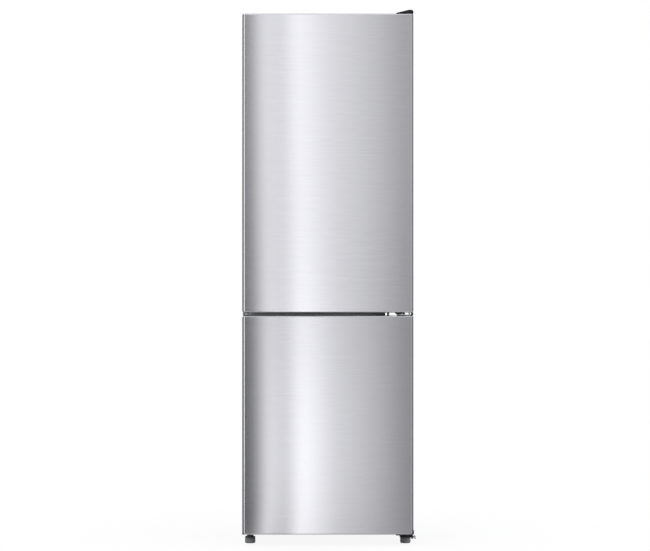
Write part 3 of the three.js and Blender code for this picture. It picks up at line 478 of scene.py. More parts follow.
def brushed_steel(name, base):
    """Film-coated steel brushed along X: scratches under 1 mm apart spread light up and down."""
    made, tree, shader, at = fresh(name)
    # a scratch is 50 mm long and 0.4 mm wide, and a bundle of them 300 mm by 1.2 mm
    fine, broad = [
        add_node(
            tree, "ShaderNodeTexNoise",
            {"Vector": add_node(
                tree, "ShaderNodeMapping",
                {"Vector": at, "Scale": (1 / (long * MM), 1 / (long * MM), 1 / (wide * MM))},
            ), "Scale": 1, "Detail": detail},
        )
        for long, wide, detail in ((50, 0.4, 2), (300, 1.2, 3))
    ]
    mixed = add_node(
        tree, "ShaderNodeMath", {0: broad, 1: 0.4, 2: fine}, operation="MULTIPLY_ADD"
    )
    share = add_node(
        tree, "ShaderNodeMapRange", {"Value": mixed, "From Min": 0.4, "From Max": 1.0}
    )
    tone = add_node(
        tree, "ShaderNodeMix", {"Factor": share, 6: shaded(base, 0.93), 7: shaded(base, 1.07)},
        data_type="RGBA",
    )
    rough = add_node(
        tree, "ShaderNodeMapRange",
        {"Value": fine, "From Min": 0.25, "From Max": 0.75, "To Min": 0.22, "To Max": 0.27},
    )
    bump = add_node(
        tree, "ShaderNodeBump", {"Height": fine, "Strength": 0.15, "Distance": 0.01 * MM}
    )
    upright = add_node(tree, "ShaderNodeCombineXYZ", {"Z": 1.0})
    feed(tree, shader, {
        "Base Color": tone.outputs[2], "Roughness": rough, "Normal": bump, "Tangent": upright,
        "Metallic": 1, "Anisotropic": 0.95,
    })
    return made


def zinc_plated(name, base):
    """Hot-dip zinc: flat crystals a few millimetres across, each a little lighter or darker."""
    made, tree, shader, at = fresh(name)
    crystals = add_node(tree, "ShaderNodeTexVoronoi", {"Vector": at, "Scale": 1 / (7 * MM)})
    level = add_node(tree, "ShaderNodeSeparateColor", {"Color": crystals.outputs["Color"]})
    tone = add_node(
        tree, "ShaderNodeMix", {"Factor": level, 6: shaded(base, 0.9), 7: shaded(base, 1.08)},
        data_type="RGBA",
    )
    rough = add_node(
        tree, "ShaderNodeMapRange", {"Value": level, "To Min": 0.36, "To Max": 0.52}
    )
    feed(tree, shader, {"Base Color": tone.outputs[2], "Roughness": rough, "Metallic": 1})
    return made


def see_through(name, base, opacity, roughness, ior, haze):
    """Clear moulding or glass. The haze is a faint unevenness of its clearness."""
    made, tree, shader, at = fresh(name)
    cloud = add_node(
        tree, "ShaderNodeTexNoise", {"Vector": at, "Scale": 1 / (70 * MM), "Detail": 2}
    )
    alpha = add_node(
        tree, "ShaderNodeMapRange",
        {"Value": cloud, "To Min": opacity - haze, "To Max": opacity + haze},
    )
    feed(tree, shader, {
        "Alpha": alpha, "Base Color": base, "Roughness": roughness, "IOR": ior,
        "Specular IOR Level": 0.8,
    })
    return made


def make_finishes():
    """Every material by its plain name, with its roughness, grain and depth of grain."""
    c = bpy.context.scene.refrigerator_colours
    return {
        # the doors' steel sheet under a clear film
        "steel": brushed_steel("brushed_steel", c.steel),
        "lower_steel": brushed_steel("brushed_steel_lower", c.lower_steel),
        # the same sheet on its hems: a duller, paler finish that shows a light line along them, a
        # painted highlight
        "bend": grained("pale_hem_painted_highlight", c.steel, 0.5, 1.5, 0.02, 0.02, Metallic=0.7),
        # dark grey on the doors' folded sides and on the hems' outermost faces: painted shade and
        # painted dark reflection
        "painted_shade_grey": grained("grey_painted_shade", c.painted_shade_grey, 0.4, 1.6, 0.03, 0.02),
        # satin paint over steel: a faint pebble, a soft sheen
        "casing": grained(
            "satin_casing_paint", c.casing, 0.5, 1.6, 0.05, 0.02, Specular_IOR_Level=0.35
        ),
        # the cross rail: a lighter copy of the casing paint, painted light that brightens it in
        # the shaded gap between the doors
        "rail": grained("casing_paint_painted_light", c.rail, 0.42, 1.6, 0.05, 0.02),
        # hot-dip zinc on steel sheet
        "zinc": zinc_plated("zinc_plated_steel", c.zinc),
        # moulded ABS: fine spark-eroded grain
        "dark": grained("dark_moulded_abs", c.dark, 0.5, 0.9, 0.06, 0.06),
        "black": grained(
            "black_moulded_abs", c.black, 0.46, 0.9, 0.05, 0.1, Specular_IOR_Level=0.25
        ),
        # thermoformed polystyrene sheet: nearly smooth, slightly glossy
        "white": grained("white_polystyrene", c.white, 0.34, 3.0, 0.008, 0.012, 0.03),
        # soft PVC: matt
        "seal": grained("soft_pvc_seal", c.rubber, 0.62, 1.2, 0.05, 0.03),
        # crystal polystyrene, polished or frosted in the mould
        "clear": see_through("clear_polystyrene", c.clear, 0.15, 0.1, 1.58, 0.012),
        "frosted": see_through("frosted_polystyrene", c.clear, 0.42, 0.35, 1.58, 0.015),
        # toughened soda-lime glass: faintly green
        "glass": see_through("toughened_glass", c.glass, 0.2, 0.04, 1.52, 0.01),
        # glass-filled nylon of the feet, below their dark upper part of painted shade
        "foot": grained("grey_moulded_foot", c.foot, 0.42, 0.9, 0.06, 0.08),
        # stoved enamel over steel tube
        "enamel": grained("black_enamel", c.black, 0.3, 2.2, 0.04, 0.08),
        # mill-finish aluminium fins and tube
        "aluminium": grained(
            "mill_aluminium", linear("#C9CCD0"), 0.42, 1.4, 0.02, 0.04, Metallic=1.0
        ),
        # drawn copper tube, a little tarnished
        "copper": grained("drawn_copper", c.copper, 0.32, 2.0, 0.02, 0.1, Metallic=1.0),
        # rigid polyurethane foam: open, coarse grain
        "foam": grained("polyurethane_foam", c.insulation, 0.85, 2.5, 0.5, 0.08),
        # bright zinc on steel screws
        "bright": grained(
            "bright_zinc_screw", linear("#C8C9C6"), 0.28, 1.0, 0.02, 0.04, Metallic=1.0
        ),
        # white nylon of the plugs and the hinge's bushes
        "nylon": grained("white_nylon", linear("#F3F3F0"), 0.38, 1.0, 0.02, 0.01),
    }


class Piece(bpy.types.Operator):
    """What all the piece operators share."""

    bl_options = {"REGISTER", "UNDO"}

    def execute(self, context):
        if not FINISH:
            FINISH.update(make_finishes())
        self.make()
        return {"FINISHED"}


# ---- Doors ----
# how far each door's sheet ends above the lower edge and below the upper edge of its CAD skin
DOORS = [
    {"prefix": "fridge_door", "label": "upper_door", "steel": "steel", "reveal": (-1.5, 0.6)},
    {"prefix": "freezer_door", "label": "lower_door", "steel": "lower_steel",
     "reveal": (0.0, 0.2)},
]
# past this the door's sides take the dark grey of painted shade
STEEL_SHOWS = math.sin(math.radians(21))  # steel film ends this far round the upright edge


class REFRIGERATOR_OT_door_skins(Piece):
    """The brushed steel skin of each door, folded round the sides and the back"""

    bl_idname = "refrigerator.door_skins"
    bl_label = "Door skins"

    def make(self):
        corner, hem, sheet = size("door_corner"), size("door_hem"), size("skin")
        # right of this place the upper door's top hem takes the dark grey: painted shade of the
        # hinge cover
        painted_shade_x = 240  # from here on the upper door's top is in the shade of the hinge cover
        for door in DOORS:
            skin = f"{door['prefix']}_skin"
            x, y, z = span(skin)
            z = [z[0] + door["reveal"][0], z[1] - door["reveal"][1]]
            bm = bmesh.new()
            slab(bm, x, y, z)
            upright = [
                e for e in bm.edges
                if lies_at(e, "y", y[0]) and abs(e.verts[0].co.z - e.verts[1].co.z) > 1
            ]
            bevel(bm, upright, corner, 8)
            level = [
                e for e in bm.edges
                if (lies_at(e, "z", z[0]) or lies_at(e, "z", z[1])) and not lies_at(e, "y", y[1])
            ]
            bevel(bm, level, hem, 5)
            # opens the upper, the lower and the back face, each inside a narrow fold
            for axis, way, fold in (("z", 1, 1), ("z", -1, 1), ("y", 1, 10)):
                face = max(bm.faces, key=lambda f: way * f.calc_center_median()[AXES[axis]])
                bmesh.ops.inset_region(bm, faces=[face], thickness=fold, use_even_offset=True)
                bmesh.ops.delete(bm, geom=[face], context="FACES")
            cut_lines(bm, "x", [painted_shade_x])
            bm.normal_update()
            for face in bm.faces:
                n = face.normal
                # under the hinge cover more of the top hem takes the dark grey: painted shade
                dim = door["label"] == "upper_door" and face.calc_center_median().x > painted_shade_x
                top_shows = 0.8 if dim else 0.98
                # the sides, the back fold and the outermost faces of the hems take the dark grey:
                # painted shade and painted dark reflection
                if abs(n.x) > STEEL_SHOWS or n.z < -0.93 or n.z > top_shows or n.y > 0.5:
                    face.material_index = 1
                # the rest of the hems take the paler finish: painted highlight
                elif abs(n.z) > 0.5:
                    face.material_index = 2
            settle(
                bm, f"{door['label']}_panel", [door["steel"], "painted_shade_grey", "bend"],
                door["prefix"], (skin,), wall=sheet,
            )


class REFRIGERATOR_OT_door_caps(Piece):
    """The dark caps that close each door above and below, with the finger grips"""

    bl_idname = "refrigerator.door_caps"
    bl_label = "Door caps"

    def make(self):
        rim = size("door_hem") + 1.2
        grip_x, grip_y, grip_depth = [-210, 210], [-311, -287], 14
        # the caps that face each other across the gap have a grip and a lip before it
        lips = {"upper_door_bottom": [807.9, 812], "lower_door_top": [796, 799]}

        def in_grip(p):
            """Whether a point lies over or under the grip's mouth."""
            return within(p.x, grip_x) and within(p.y, grip_y)

        for door in DOORS:
            skin_x, skin_y, _ = span(f"{door['prefix']}_skin")
            for end in ("top", "bottom"):
                node, name = f"{door['prefix']}_{end}_cap", f"{door['label']}_{end}"
                z = span(node)[2]
                bm = bmesh.new()
                slab(bm, inset(skin_x, rim), inset(skin_y, rim), z, 4, 4, along="z")
                bevel(bm, sharp_edges(bm, angle=80), 1, 2)
                if name in lips:
                    mouth, deeper = (z[1], -grip_depth) if end == "top" else (z[0], grip_depth)
                    cut_lines(bm, "x", grip_x)
                    cut_lines(bm, "y", grip_y)
                    push(bm, lambda p: abs(p.z - mouth) < NEAR and in_grip(p), (0, 0, deeper))
                    bevel(bm, sharp_edges(bm, in_grip, 60), 1.6, 3)
                    slab(bm, [-292, 196], [-319, -316], lips[name], 0.8, 2)
                if name == "lower_door_bottom":  # its corners show below the sheet
                    slab(bm, [-297.4, -290.4], [-323.9, -309], [37.9, 44.6], 1, 2)
                    slab(bm, [290.6, 299.4], [-322, -309], [37.9, 52.5], 1.2, 3)
                settle(bm, f"{name}_end", "dark", door["prefix"], (node,))


class REFRIGERATOR_OT_door_inners(Piece):
    """The white inner sheets: a ridge round the upper door's, a raised field on the lower's"""

    bl_idname = "refrigerator.door_inners"
    bl_label = "Door inner sheets"

    def make(self):
        x, y, z = span("fridge_door_liner")
        plate = [y[0], span("fridge_door_skin")[1][1]]
        ridge_x, ridge_z, ridge_width = [-240, 240], [851.5, 1787.5], 18
        inner_x, inner_z = inset(ridge_x, ridge_width), inset(ridge_z, ridge_width)
        bm = bmesh.new()
        slab(bm, x, plate, z)
        cut_lines(bm, "x", ridge_x + inner_x)
        cut_lines(bm, "z", ridge_z + inner_z)
        push(
            bm,
            lambda p: abs(p.y - plate[1]) < NEAR and inside(p, ridge_x, ridge_z)
            and not inside(p, inner_x, inner_z, 0),
            (0, y[1] - plate[1], 0),
        )
        ridge = sharp_edges(bm, lambda p: p.y > plate[1] - 0.5 and inside(p, ridge_x, ridge_z))
        bevel(bm, ridge, 6, 4)
        for node in BINS:  # each bin rests on two lugs
            rise = span(node)[2][0]
            for lug_x in both_sides(213.6, 223):
                slab(bm, lug_x, [plate[1] - 1, plate[1] + 30], [rise - 8, rise], 2, 3)
        settle(bm, "upper_door_inner", "white", "fridge_door",
               ("fridge_door_liner",))

        x, y, z = span("freezer_door_liner")
        plate = [y[0], span("freezer_door_skin")[1][1]]
        field_x, field_z, border = [-214, 214], [98.5, 755.5], 34
        deep_x, deep_z = inset(field_x, border), inset(field_z, border)
        bm = bmesh.new()
        slab(bm, x, plate, z)
        for reach_x, reach_z, level, by in (
            (field_x, field_z, plate[1], y[1] - plate[1]), (deep_x, deep_z, y[1], -1.6)
        ):
            cut_lines(bm, "x", reach_x)
            cut_lines(bm, "z", reach_z)
            push(
                bm, lambda p: abs(p.y - level) < NEAR and inside(p, reach_x, reach_z), (0, by, 0)
            )
        bevel(bm, sharp_edges(bm, lambda p: inside(p, deep_x, deep_z)), 0.8, 3)
        outer = sharp_edges(
            bm,
            lambda p: p.y > plate[1] - 0.5 and inside(p, field_x, field_z)
            and not inside(p, deep_x, deep_z, 1),
        )
        bevel(bm, outer, 5, 4)
        settle(bm, "lower_door_inner", "white", "freezer_door",
               ("freezer_door_liner",))


class REFRIGERATOR_OT_door_seals(Piece):
    """The soft seals round the doors, with their folds"""

    bl_idname = "refrigerator.door_seals"
    bl_label = "Door seals"

    def make(self):
        # the seal's outline: how far in from its outer edge, and how far from the door
        folds = [
            (2, 0), (0.6, 1.2), (0, 2.6), (2.6, 4.2), (3.2, 5.4), (2.4, 6.6), (0.2, 8.2), (0, 9.6),
            (0.8, 11), (2.4, 11.7), (15.6, 11.7), (17.2, 11), (18, 9.6), (17.8, 8.2), (15.6, 6.6),
            (14.8, 5.4), (15.4, 4.2), (18, 2.6), (17.4, 1.2), (16, 0),
        ]
        for door in DOORS:
            node = f"{door['prefix']}_gasket"
            x, y, z = span(node)
            bm = bmesh.new()
            places = [(y[0] + out, into, 3) for into, out in folds]
            loft(bm, rings(bm, "y", x, z, places, 2), closed=True)
            settle(bm, f"{door['label']}_seal", "seal", door["prefix"],
                   (node,), smooth=50)


class REFRIGERATOR_OT_door_bins(Piece):
    """The clear bins of the upper door, with their front strips, and the flap over the top one"""

    bl_idname = "refrigerator.door_bins"
    bl_label = "Door bins"

    def make(self):
        for node, name in BINS.items():
            x, y, z = span(node)
            bm = bmesh.new()
            vessel(bm, x, y, z, wall=2.3, corner=14)
            for at in evenly(x, 7)[1:-1]:  # upright ribs on the wall that faces the shelves
                slab(bm, around(at, 2), [y[1] - 1.6, y[1] - 0.2], [z[0] + 12, z[1] - 26], 0.5, 2)
            tint(bm, lambda p, n: p.z > z[1] - RIM or n.z < -0.3)
            settle(bm, name, ["clear", "frosted"], "fridge_door", (node,))
            blocks(f"{name}_strip", "white", "fridge_door",
                   [(inset(x, 13), [y[1] - 1.3, y[1]], [z[1] - 22, z[1] - 7], 0.5, 2)])
        softened("dairy_flap", "dairy_lid", "clear", 0.7)


# ---- Cabinet ----
class REFRIGERATOR_OT_casing(Piece):
    """The painted sides and top, the zinc back, the cross rail and the base"""

    bl_idname = "refrigerator.casing"
    bl_label = "Casing"

    def make(self):
        for node, name, finish, slot, radius in (
            ("side_panel_left", "left_side", "casing", "casing_paint", 0.45),
            ("side_panel_right", "right_side", "casing", "casing_paint", 0.45),
            ("top_panel", "top_sheet", "casing", "casing_paint", 0.45),
            ("center_rail", "cross_rail", "rail", "casing_paint", 0.45),
            ("base_frame", "base", "zinc", "zinc_plate", 0.4),
        ):
            softened(node, name, finish, radius)
        for node, name in (
            ("blanking_plug_left", "outer_plug"), ("blanking_plug_right", "inner_plug")
        ):
            x, y, z = span(node)
            r = (x[1] - x[0]) / 2
            bm = bmesh.new()
            turned(bm, "y", (middle(x), middle(z)), [
                (0, y[1]), (r, y[1]), (r, y[1] - 0.5), (r * 0.8, y[0] + 0.2), (0, y[0]),
            ])
            settle(bm, name, "nylon", "cabinet", (node,))

        x, y, z = span("back_panel")
        bead_x, bead_width, screw_x = [-262, 262], 16, 287
        bm = bmesh.new()
        slab(bm, x, y, z, 0.3, 1)
        for at in evenly(inset(z, 130), 7):  # pressed beads that stiffen the sheet
            loft(bm, rings(bm, "y", bead_x, around(at, bead_width), [
                (y[1] + out, into, bead_width / 2 - into)
                for into, out in ((0, -0.3), (1.5, 0.4), (3.5, 1.4), (5.5, 1.8))
            ]), start=False)
        settle(bm, "back_sheet", "zinc", "cabinet", ("back_panel",))
        bm = bmesh.new()
        for at in evenly(inset(z, 40), 9):
            screw(bm, "y", (-screw_x, at), y[1])
            screw(bm, "y", (screw_x, at), y[1])
        for at in evenly([-200, 200], 5):
            screw(bm, "y", (at, z[1] - 14), y[1])
            screw(bm, "y", (at, z[0] + 10), y[1])
        settle(bm, "back_screws", "bright", "cabinet")
        bm = bmesh.new()
        for at in ((0, 1640), (0, 1520)):  # plugs of the holes where the foam went in
            turned(bm, "y", at, [
                (0, y[1] - 0.5), (17, y[1] - 0.5), (17, y[1] + 1), (15, y[1] + 2),
                (11, y[1] + 2), (10, y[1] + 1.2), (0, y[1] + 1.2),
            ], 32)
        settle(bm, "foam_plugs", "white", "cabinet")


class REFRIGERATOR_OT_liners(Piece):
    """The white inside of both compartments"""

    bl_idname = "refrigerator.liners"
    bl_label = "Liners"

    def make(self):
        shelf_y = span("shelf_lower")[1]
        rest_y = [shelf_y[0] + 10, shelf_y[1]]
        undersides = [span(node)[2][0] for node in SHELVES]
        self.shell(
            "fridge_liner", "fridge_inside", [-247.5, 247.5], [844, 1795], back=222, steps=[],
            ledges=[(12, rest_y, [low + 4, low + 10]) for low in undersides],
        )
        # the freezer's floor climbs over the machine compartment
        corner, floor, hump_y, hump_z, crest = size("liner_corner"), 90, 17, 317, 8
        steps = [
            (hump_y - corner + corner * math.sin(t), floor + corner * (1 - math.cos(t)))
            for t in quarter(5)
        ]
        steps += [
            (hump_y + crest * (1 - math.cos(t)), hump_z - crest * (1 - math.sin(t)))
            for t in quarter(5)
        ]
        runners = []
        for node in ("freezer_drawer_bottom", "freezer_drawer_middle", "freezer_drawer_top"):
            _, y, z = span(node)
            runners.append((28.5, y, [z[0] - 8.3, z[0] - 0.3]))
        self.shell(
            "freezer_liner", "freezer_inside", [-222.5, 222.5], [floor, 764], back=207,
            steps=steps, ledges=runners,
        )

    def shell(self, node, name, room_x, room_z, back, steps, ledges):
        """One compartment. The steps give the floor's height at places on Y, and the ledges
        their width and their reach on Y and Z."""
        corner, roll = size("liner_corner"), 6
        flange_x, (front, _), flange_z = span(node)
        bm = bmesh.new()
        loops = rings(bm, "y", flange_x, flange_z, [
            (front + 1.6, 0, 0.5), (front + 0.3, 0, 0.5), (front, 0.4, 0.5),
        ])
        for t in quarter(5):  # rolls from the flange into the room
            out = roll * (1 - math.sin(t))
            loops += rings(bm, "y", room_x, room_z, [
                (front + roll * (1 - math.cos(t)), -out, corner + out),
            ])
        for at, low in steps:
            loops.append(ring(bm, "y", at, room_x, [low, room_z[1]], corner))
        low = steps[-1][1] if steps else room_z[0]
        for t in quarter(5):  # rounds off into the back wall
            into = corner * (1 - math.cos(t))
            loops += rings(bm, "y", room_x, [low, room_z[1]], [
                (back - corner + corner * math.sin(t), into, corner - into * 0.95),
            ])
        loft(bm, loops, start=False)
        for reach, y, z in ledges:
            for ledge_x in both_sides(room_x[1] - reach, room_x[1] + 1):
                slab(bm, ledge_x, y, z, 2, 3)
        settle(bm, name, "white", "cabinet", (node,), inward=True)


class REFRIGERATOR_OT_hinges(Piece):
    """The hinges, the cover over the top one and the bits that show in the gap"""

    bl_idname = "refrigerator.hinges"
    bl_label = "Hinges"

    def make(self):
        softened("top_hinge", "top_hinge_plate", "zinc", 0.4)
        softened("top_hinge_cover", "hinge_cover", "black", 1.2, 3, angle=12)
        softened("door_sensor", "door_switch", "black", 0.8)

        x, y, z = span("middle_hinge")
        pin = (282.5, -303)
        arm, posts_top = [799.4, 802], 808.6  # heights of the arm, and of what stands on it
        blocks("middle_hinge_arm", "zinc", "cabinet", [
            (x, [y[1] - 2, y[1]], [798.6, 809.4], 0.5, 2),
            ([x[0] + 1.5, x[1]], [y[0], y[1] - 0.5], arm, 0.5, 2),
        ], ("middle_hinge",))
        bm = bmesh.new()
        rod(bm, "z", pin, 4, z)
        slab(bm, [289.8, 297], [-318, -296], [798.4, 808.8], 1.2, 3)
        # two black posts either side of the door's stop: dark marks for the shade in the gaps
        # between the white parts, painted shade
        slab(bm, [207.4, 211.6], [-313, -303], [arm[0], posts_top], 0.8, 2)
        slab(bm, [242.4, 247.2], [-313, -300], [arm[0], 805], 0.8, 2)
        settle(bm, "middle_hinge_pin", "black", "cabinet")
        bm = bmesh.new()
        bush = [(arm[1] - 0.2, 0, 2.5), (posts_top, 0, 2.5)]
        loft(bm, rings(bm, "z", [267.8, 281.4], [-319.5, -294], bush, 3))
        slab(bm, [284.8, 288.8], [-319, -296], [arm[1] - 0.2, posts_top], 0.9, 3)
        slab(bm, [199.4, 205.6], [-320, -300], [798.6, 808], 0.9, 3)
        slab(bm, [268.4, 289.2], [-312, -295], [797.6, arm[0] + 0.2], 0.7, 2)
        # the door's stop: a block with one slanted end, drawn from the front
        stop = [bm.verts.new((u, -321, w)) for u, w in (
            (213.4, 798.2), (240.4, 798.2), (240.4, 800.6), (231.5, 808.4), (213.4, 808.4))]
        made = bmesh.ops.extrude_face_region(bm, geom=[bm.faces.new(stop)])["geom"]
        bmesh.ops.translate(
            bm, vec=(0, 26, 0), verts=[g for g in made if isinstance(g, bmesh.types.BMVert)]
        )
        bevel(bm, sharp_edges(bm, lambda p: 213 < p.x < 241), 0.9, 3)
        settle(bm, "middle_hinge_bushes", "nylon", "cabinet")
        bm = bmesh.new()
        turned(bm, "z", (258.4, -306), [
            (0, arm[1]), (5, arm[1]), (5, 804), (4.2, 805.6), (2.4, 806.4), (0, 806.5),
        ], 24)
        for at in (222, 246, 262):
            screw(bm, "y", (at, 805.8), y[1] - 2, out=-1, radius=3)
        settle(bm, "middle_hinge_screws", "bright", "cabinet")

        softened("bottom_hinge", "bottom_hinge_plate", "enamel", 0.5)
        tab_end = span("bottom_hinge")[0][1]
        cover_top = 37.6
        blocks("bottom_hinge_cover", "black", "cabinet", [
            ([236, 291.5], [-321, -300], [34.6, cover_top], 0.8, 2),
            ([290, 295.5], [-321, -306], [23, cover_top], 0.8, 2),
            ([281.5, 285], [-320, -312], [26, cover_top], 0.8, 2),
        ])
        blocks("bottom_hinge_tab", "zinc", "cabinet",
               [([tab_end - 5.6, tab_end - 0.5], [-318.5, -292], [25, 33], 1, 2)])


class REFRIGERATOR_OT_feet(Piece):
    """The two fluted front feet and the two rollers at the back"""

    bl_idname = "refrigerator.feet"
    bl_label = "Feet and rollers"

    def make(self):
        # above this height the foot takes the dark plastic: painted shade from the door above it
        flutes, painted_shade_from = 14, 16.5  # their number, and the height where the dark neck begins
        # a foot's outline: height, share of its radius, and share of its flutes' depth
        outline = [
            (0, 0.9, 0.2), (0.8, 0.95, 0.4), (2.4, 0.985, 1), (9, 1, 1), (17, 0.99, 1),
            (21, 0.97, 0.7), (23.2, 0.93, 0.3), (24, 0.88, 0), (24, 0.62, 0),
        ]
        for node, name, neck_top in (
            ("foot_left", "left_foot_pad", 29.5), ("foot_right", "right_foot_pad", 26.5)
        ):
            x, y, z = span(node)
            cx, cy = middle(x), middle(y)
            outer = (x[1] - x[0]) / 2 + 0.3
            bm = bmesh.new()
            loops = []
            for height, share, depth in outline:
                made = bmesh.ops.create_circle(bm, segments=flutes * 8, radius=1)["verts"]
                for v in made:
                    turn = math.atan2(v.co.y, v.co.x)
                    r = outer * share - depth * 1.1 * (0.5 - 0.5 * math.cos(flutes * turn)) ** 2
                    v.co = (cx + r * math.cos(turn), cy + r * math.sin(turn), height)
                loops.append(list({e for v in made for e in v.link_edges}))
            loft(bm, loops)
            rod(bm, "z", (cx, cy), 11.3, [23.5, neck_top], 24, 0.8)
            rod(bm, "z", (cx, cy), 5, [24, z[1]], 16)  # the threaded stem
            # the upper part takes the dark plastic: painted shade
            tint(bm, lambda p, n: p.z > painted_shade_from)
            settle(bm, name, ["foot", "dark"], frame["nodes"][node]["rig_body"],
                   (node,))
        for node, body in (("roller_left", "left_roller"), ("roller_right", "right_roller")):
            x, y, z = span(node)
            r = (y[1] - y[0]) / 2
            # half of the wheel's outline: radius, and how far in from its side
            half = [
                (3.4, 2), (6, 0), (8, 0.2), (9, 2.5), (r - 2.5, 2.5), (r - 1.6, 0.2), (r, 1.4),
            ]
            bm = bmesh.new()
            turned(bm, "x", (middle(y), middle(z)), [
                *[(at, x[0] + into) for at, into in half],
                *[(at, x[1] - into) for at, into in half[::-1]],
                (3.4, x[0] + 2),
            ], 40)
            settle(bm, f"{body}_wheel", "dark", body, (node,))


# ---- Inside ----
class REFRIGERATOR_OT_shelves(Piece):
    """The glass shelves with their white edges"""

    bl_idname = "refrigerator.shelves"
    bl_label = "Shelves"

    def make(self):
        # the front edge's outline: how far back from the front, and its top above the glass
        outline = [(10, 0.3), (7, 1.2), (3, 1.2), (0.8, -0.2), (0, -3)]
        for node in SHELVES:
            x, y, z = span(node)
            blocks(f"{node}_pane", "glass", "cabinet",
                   [(x, [y[0] + 3, y[1]], [z[1] - 4, z[1]], 0.8, 2)], (node,))
            bm = bmesh.new()
            loft(bm, [
                ring(bm, "y", y[0] + back, x, [z[0] + (10 - back) * 0.25, z[1] + top], 1.4, 3)
                for back, top in outline
            ])
            slab(bm, x, [y[1] - 6, y[1] + 4], [z[1] - 5, z[1] + 7], 1.5, 3)
            settle(bm, f"{node}_edges", "white", "cabinet")


class REFRIGERATOR_OT_drawers(Piece):
    """The crisper and the freezer drawers: a clear tub and a front with a hand grip"""

    bl_idname = "refrigerator.drawers"
    bl_label = "Drawers"

    def make(self):
        for node, body, label in (
            ("crisper_drawer", "crisper", "crisper"),
            ("freezer_drawer_bottom", "bottom_drawer", "low_drawer"),
            ("freezer_drawer_middle", "middle_drawer", "middle_drawer"),
            ("freezer_drawer_top", "top_drawer", "high_drawer"),
        ):
            x, y, z = span(node)
            tub_top = z[1] - 18
            bm = bmesh.new()
            vessel(bm, x, [y[0] + 4, y[1]], [z[0], tub_top], wall=2.3, corner=16, base=9)
            for at in evenly(inset(y, 20), 9)[1:-1]:  # moulded ribs along each side
                for rib_x in both_sides(x[1] - 0.3, x[1] - 1.6):
                    slab(bm, rib_x, around(at, 2.2), [z[0] + 14, tub_top - 16], 0.5, 2)
            tint(bm, lambda p, n: p.z > tub_top - RIM or n.z < -0.3)
            settle(bm, f"{label}_tub", ["clear", "frosted"], body, (node,))
            grip_x, grip_z = [-90, 90], [z[1] - 42, z[1] - 14]
            bm = bmesh.new()
            loops = rings(bm, "y", x, z, [
                (y[0] + 6, 1, 12), (y[0] + 5.2, 0.2, 12), (y[0] + 2, 0, 12),
                (y[0] + 0.6, 0.6, 12), (y[0], 2, 11),
            ])
            loops += rings(bm, "y", grip_x, grip_z, [
                (y[0], -2, 10), (y[0] + 0.8, -0.6, 9), (y[0] + 2.6, 0, 8), (y[0] + 3, 2, 7),
            ])
            loft(bm, loops)
            rim_x, rim_z = inset(grip_x, -2), inset(grip_z, -2)
            tint(bm, lambda p, n: inside(p, rim_x, rim_z) and p.y < y[0] + 4)
            settle(bm, f"{label}_front", ["frosted", "white"], body)


class REFRIGERATOR_OT_cold_air(Piece):
    """The evaporator's cover with its fan grille, the fan, and the duct in the fridge"""

    bl_idname = "refrigerator.cold_air"
    bl_label = "Cold air"

    def make(self):
        softened("evaporator_cover", "cold_wall", "white", 0.5)
        softened("fridge_air_duct", "air_duct", "white", 1.6, 3)
        softened("fan_motor", "fan_motor_can", "black", 0.8)
        front = span("fridge_air_duct")[1][0]
        mouth_x, mouth_height = [-30, 30], 8
        # a grille's frame: how far into the duct, and how far outside the mouth
        outline = [(0.3, 3), (-0.6, 2.6), (-1, 2), (-1, 0.4), (-0.6, 0), (3, 0)]
        bm = bmesh.new()
        for node in SHELVES[:3]:
            height = span(node)[2][0] + 70
            places = [(front + deep, -wide, 2) for deep, wide in outline]
            loops = rings(bm, "y", mouth_x, around(height, mouth_height), places)
            loft(bm, loops, start=False, end=False)
            for at in evenly(mouth_x, 9)[1:-1]:
                slab(bm, around(at, 1.6), [front + 0.2, front + 3], around(height, 8.4))
        settle(bm, "duct_grilles", "white", "cabinet")

        centre = (0, 700)

        def round_centre(radius, turn, y):
            """The point at a distance and a turn round the fan's axle."""
            return (centre[0] + radius * math.cos(turn), y, centre[1] + radius * math.sin(turn))

        front = span("evaporator_cover")[1][0]
        bm = bmesh.new()
        for r in (10, 19, 28, 37, 45.4):
            turns = [2 * math.pi * k / 40 for k in range(41)]
            pipe(bm, [round_centre(r, t, front + 0.6) for t in turns], 1.0, 1)
        for k in range(6):
            pipe(bm, [round_centre(r, math.pi * k / 3, front + 1.4) for r in (8, 46)], 1.2, 1)
        settle(bm, "fan_grille", "white", "cabinet", smooth=65)

        (_, tip), fan_y, _ = span("evaporator_fan")
        bore, hub, blades = 2.9, 12, 5  # radii of its bore and hub, and how many blades it has
        bm = bmesh.new()
        turned(bm, "y", centre, [
            (bore, fan_y[0] + 1), (9, fan_y[0]), (11.4, fan_y[0] + 1), (hub, fan_y[0] + 3),
            (hub, fan_y[1]), (bore, fan_y[1]), (bore, fan_y[0] + 1),
        ], 32)
        for k in range(blades):
            made = bmesh.ops.create_grid(bm, x_segments=8, y_segments=6, size=0.5)["verts"]
            for v in made:
                # out runs from the hub to the tip, and over from edge to edge of the blade
                out, over = v.co.x + 0.5, 2 * v.co.y
                spread = (0.36 + 0.18 * out) * (1 - 0.25 * out * out) * over + 0.18 * out
                lift = 5.2 * (1 - 0.35 * out) * over - 1.2 * over ** 2
                v.co = round_centre(
                    11 + out * (tip - 11.5), 2 * math.pi * k / blades + spread,
                    middle(fan_y) + lift,
                )
            faces = list({f for v in made for f in v.link_faces})
            bmesh.ops.solidify(bm, geom=faces, thickness=1.2)
        settle(bm, "fan_blades", "dark", "fan", ("evaporator_fan",))


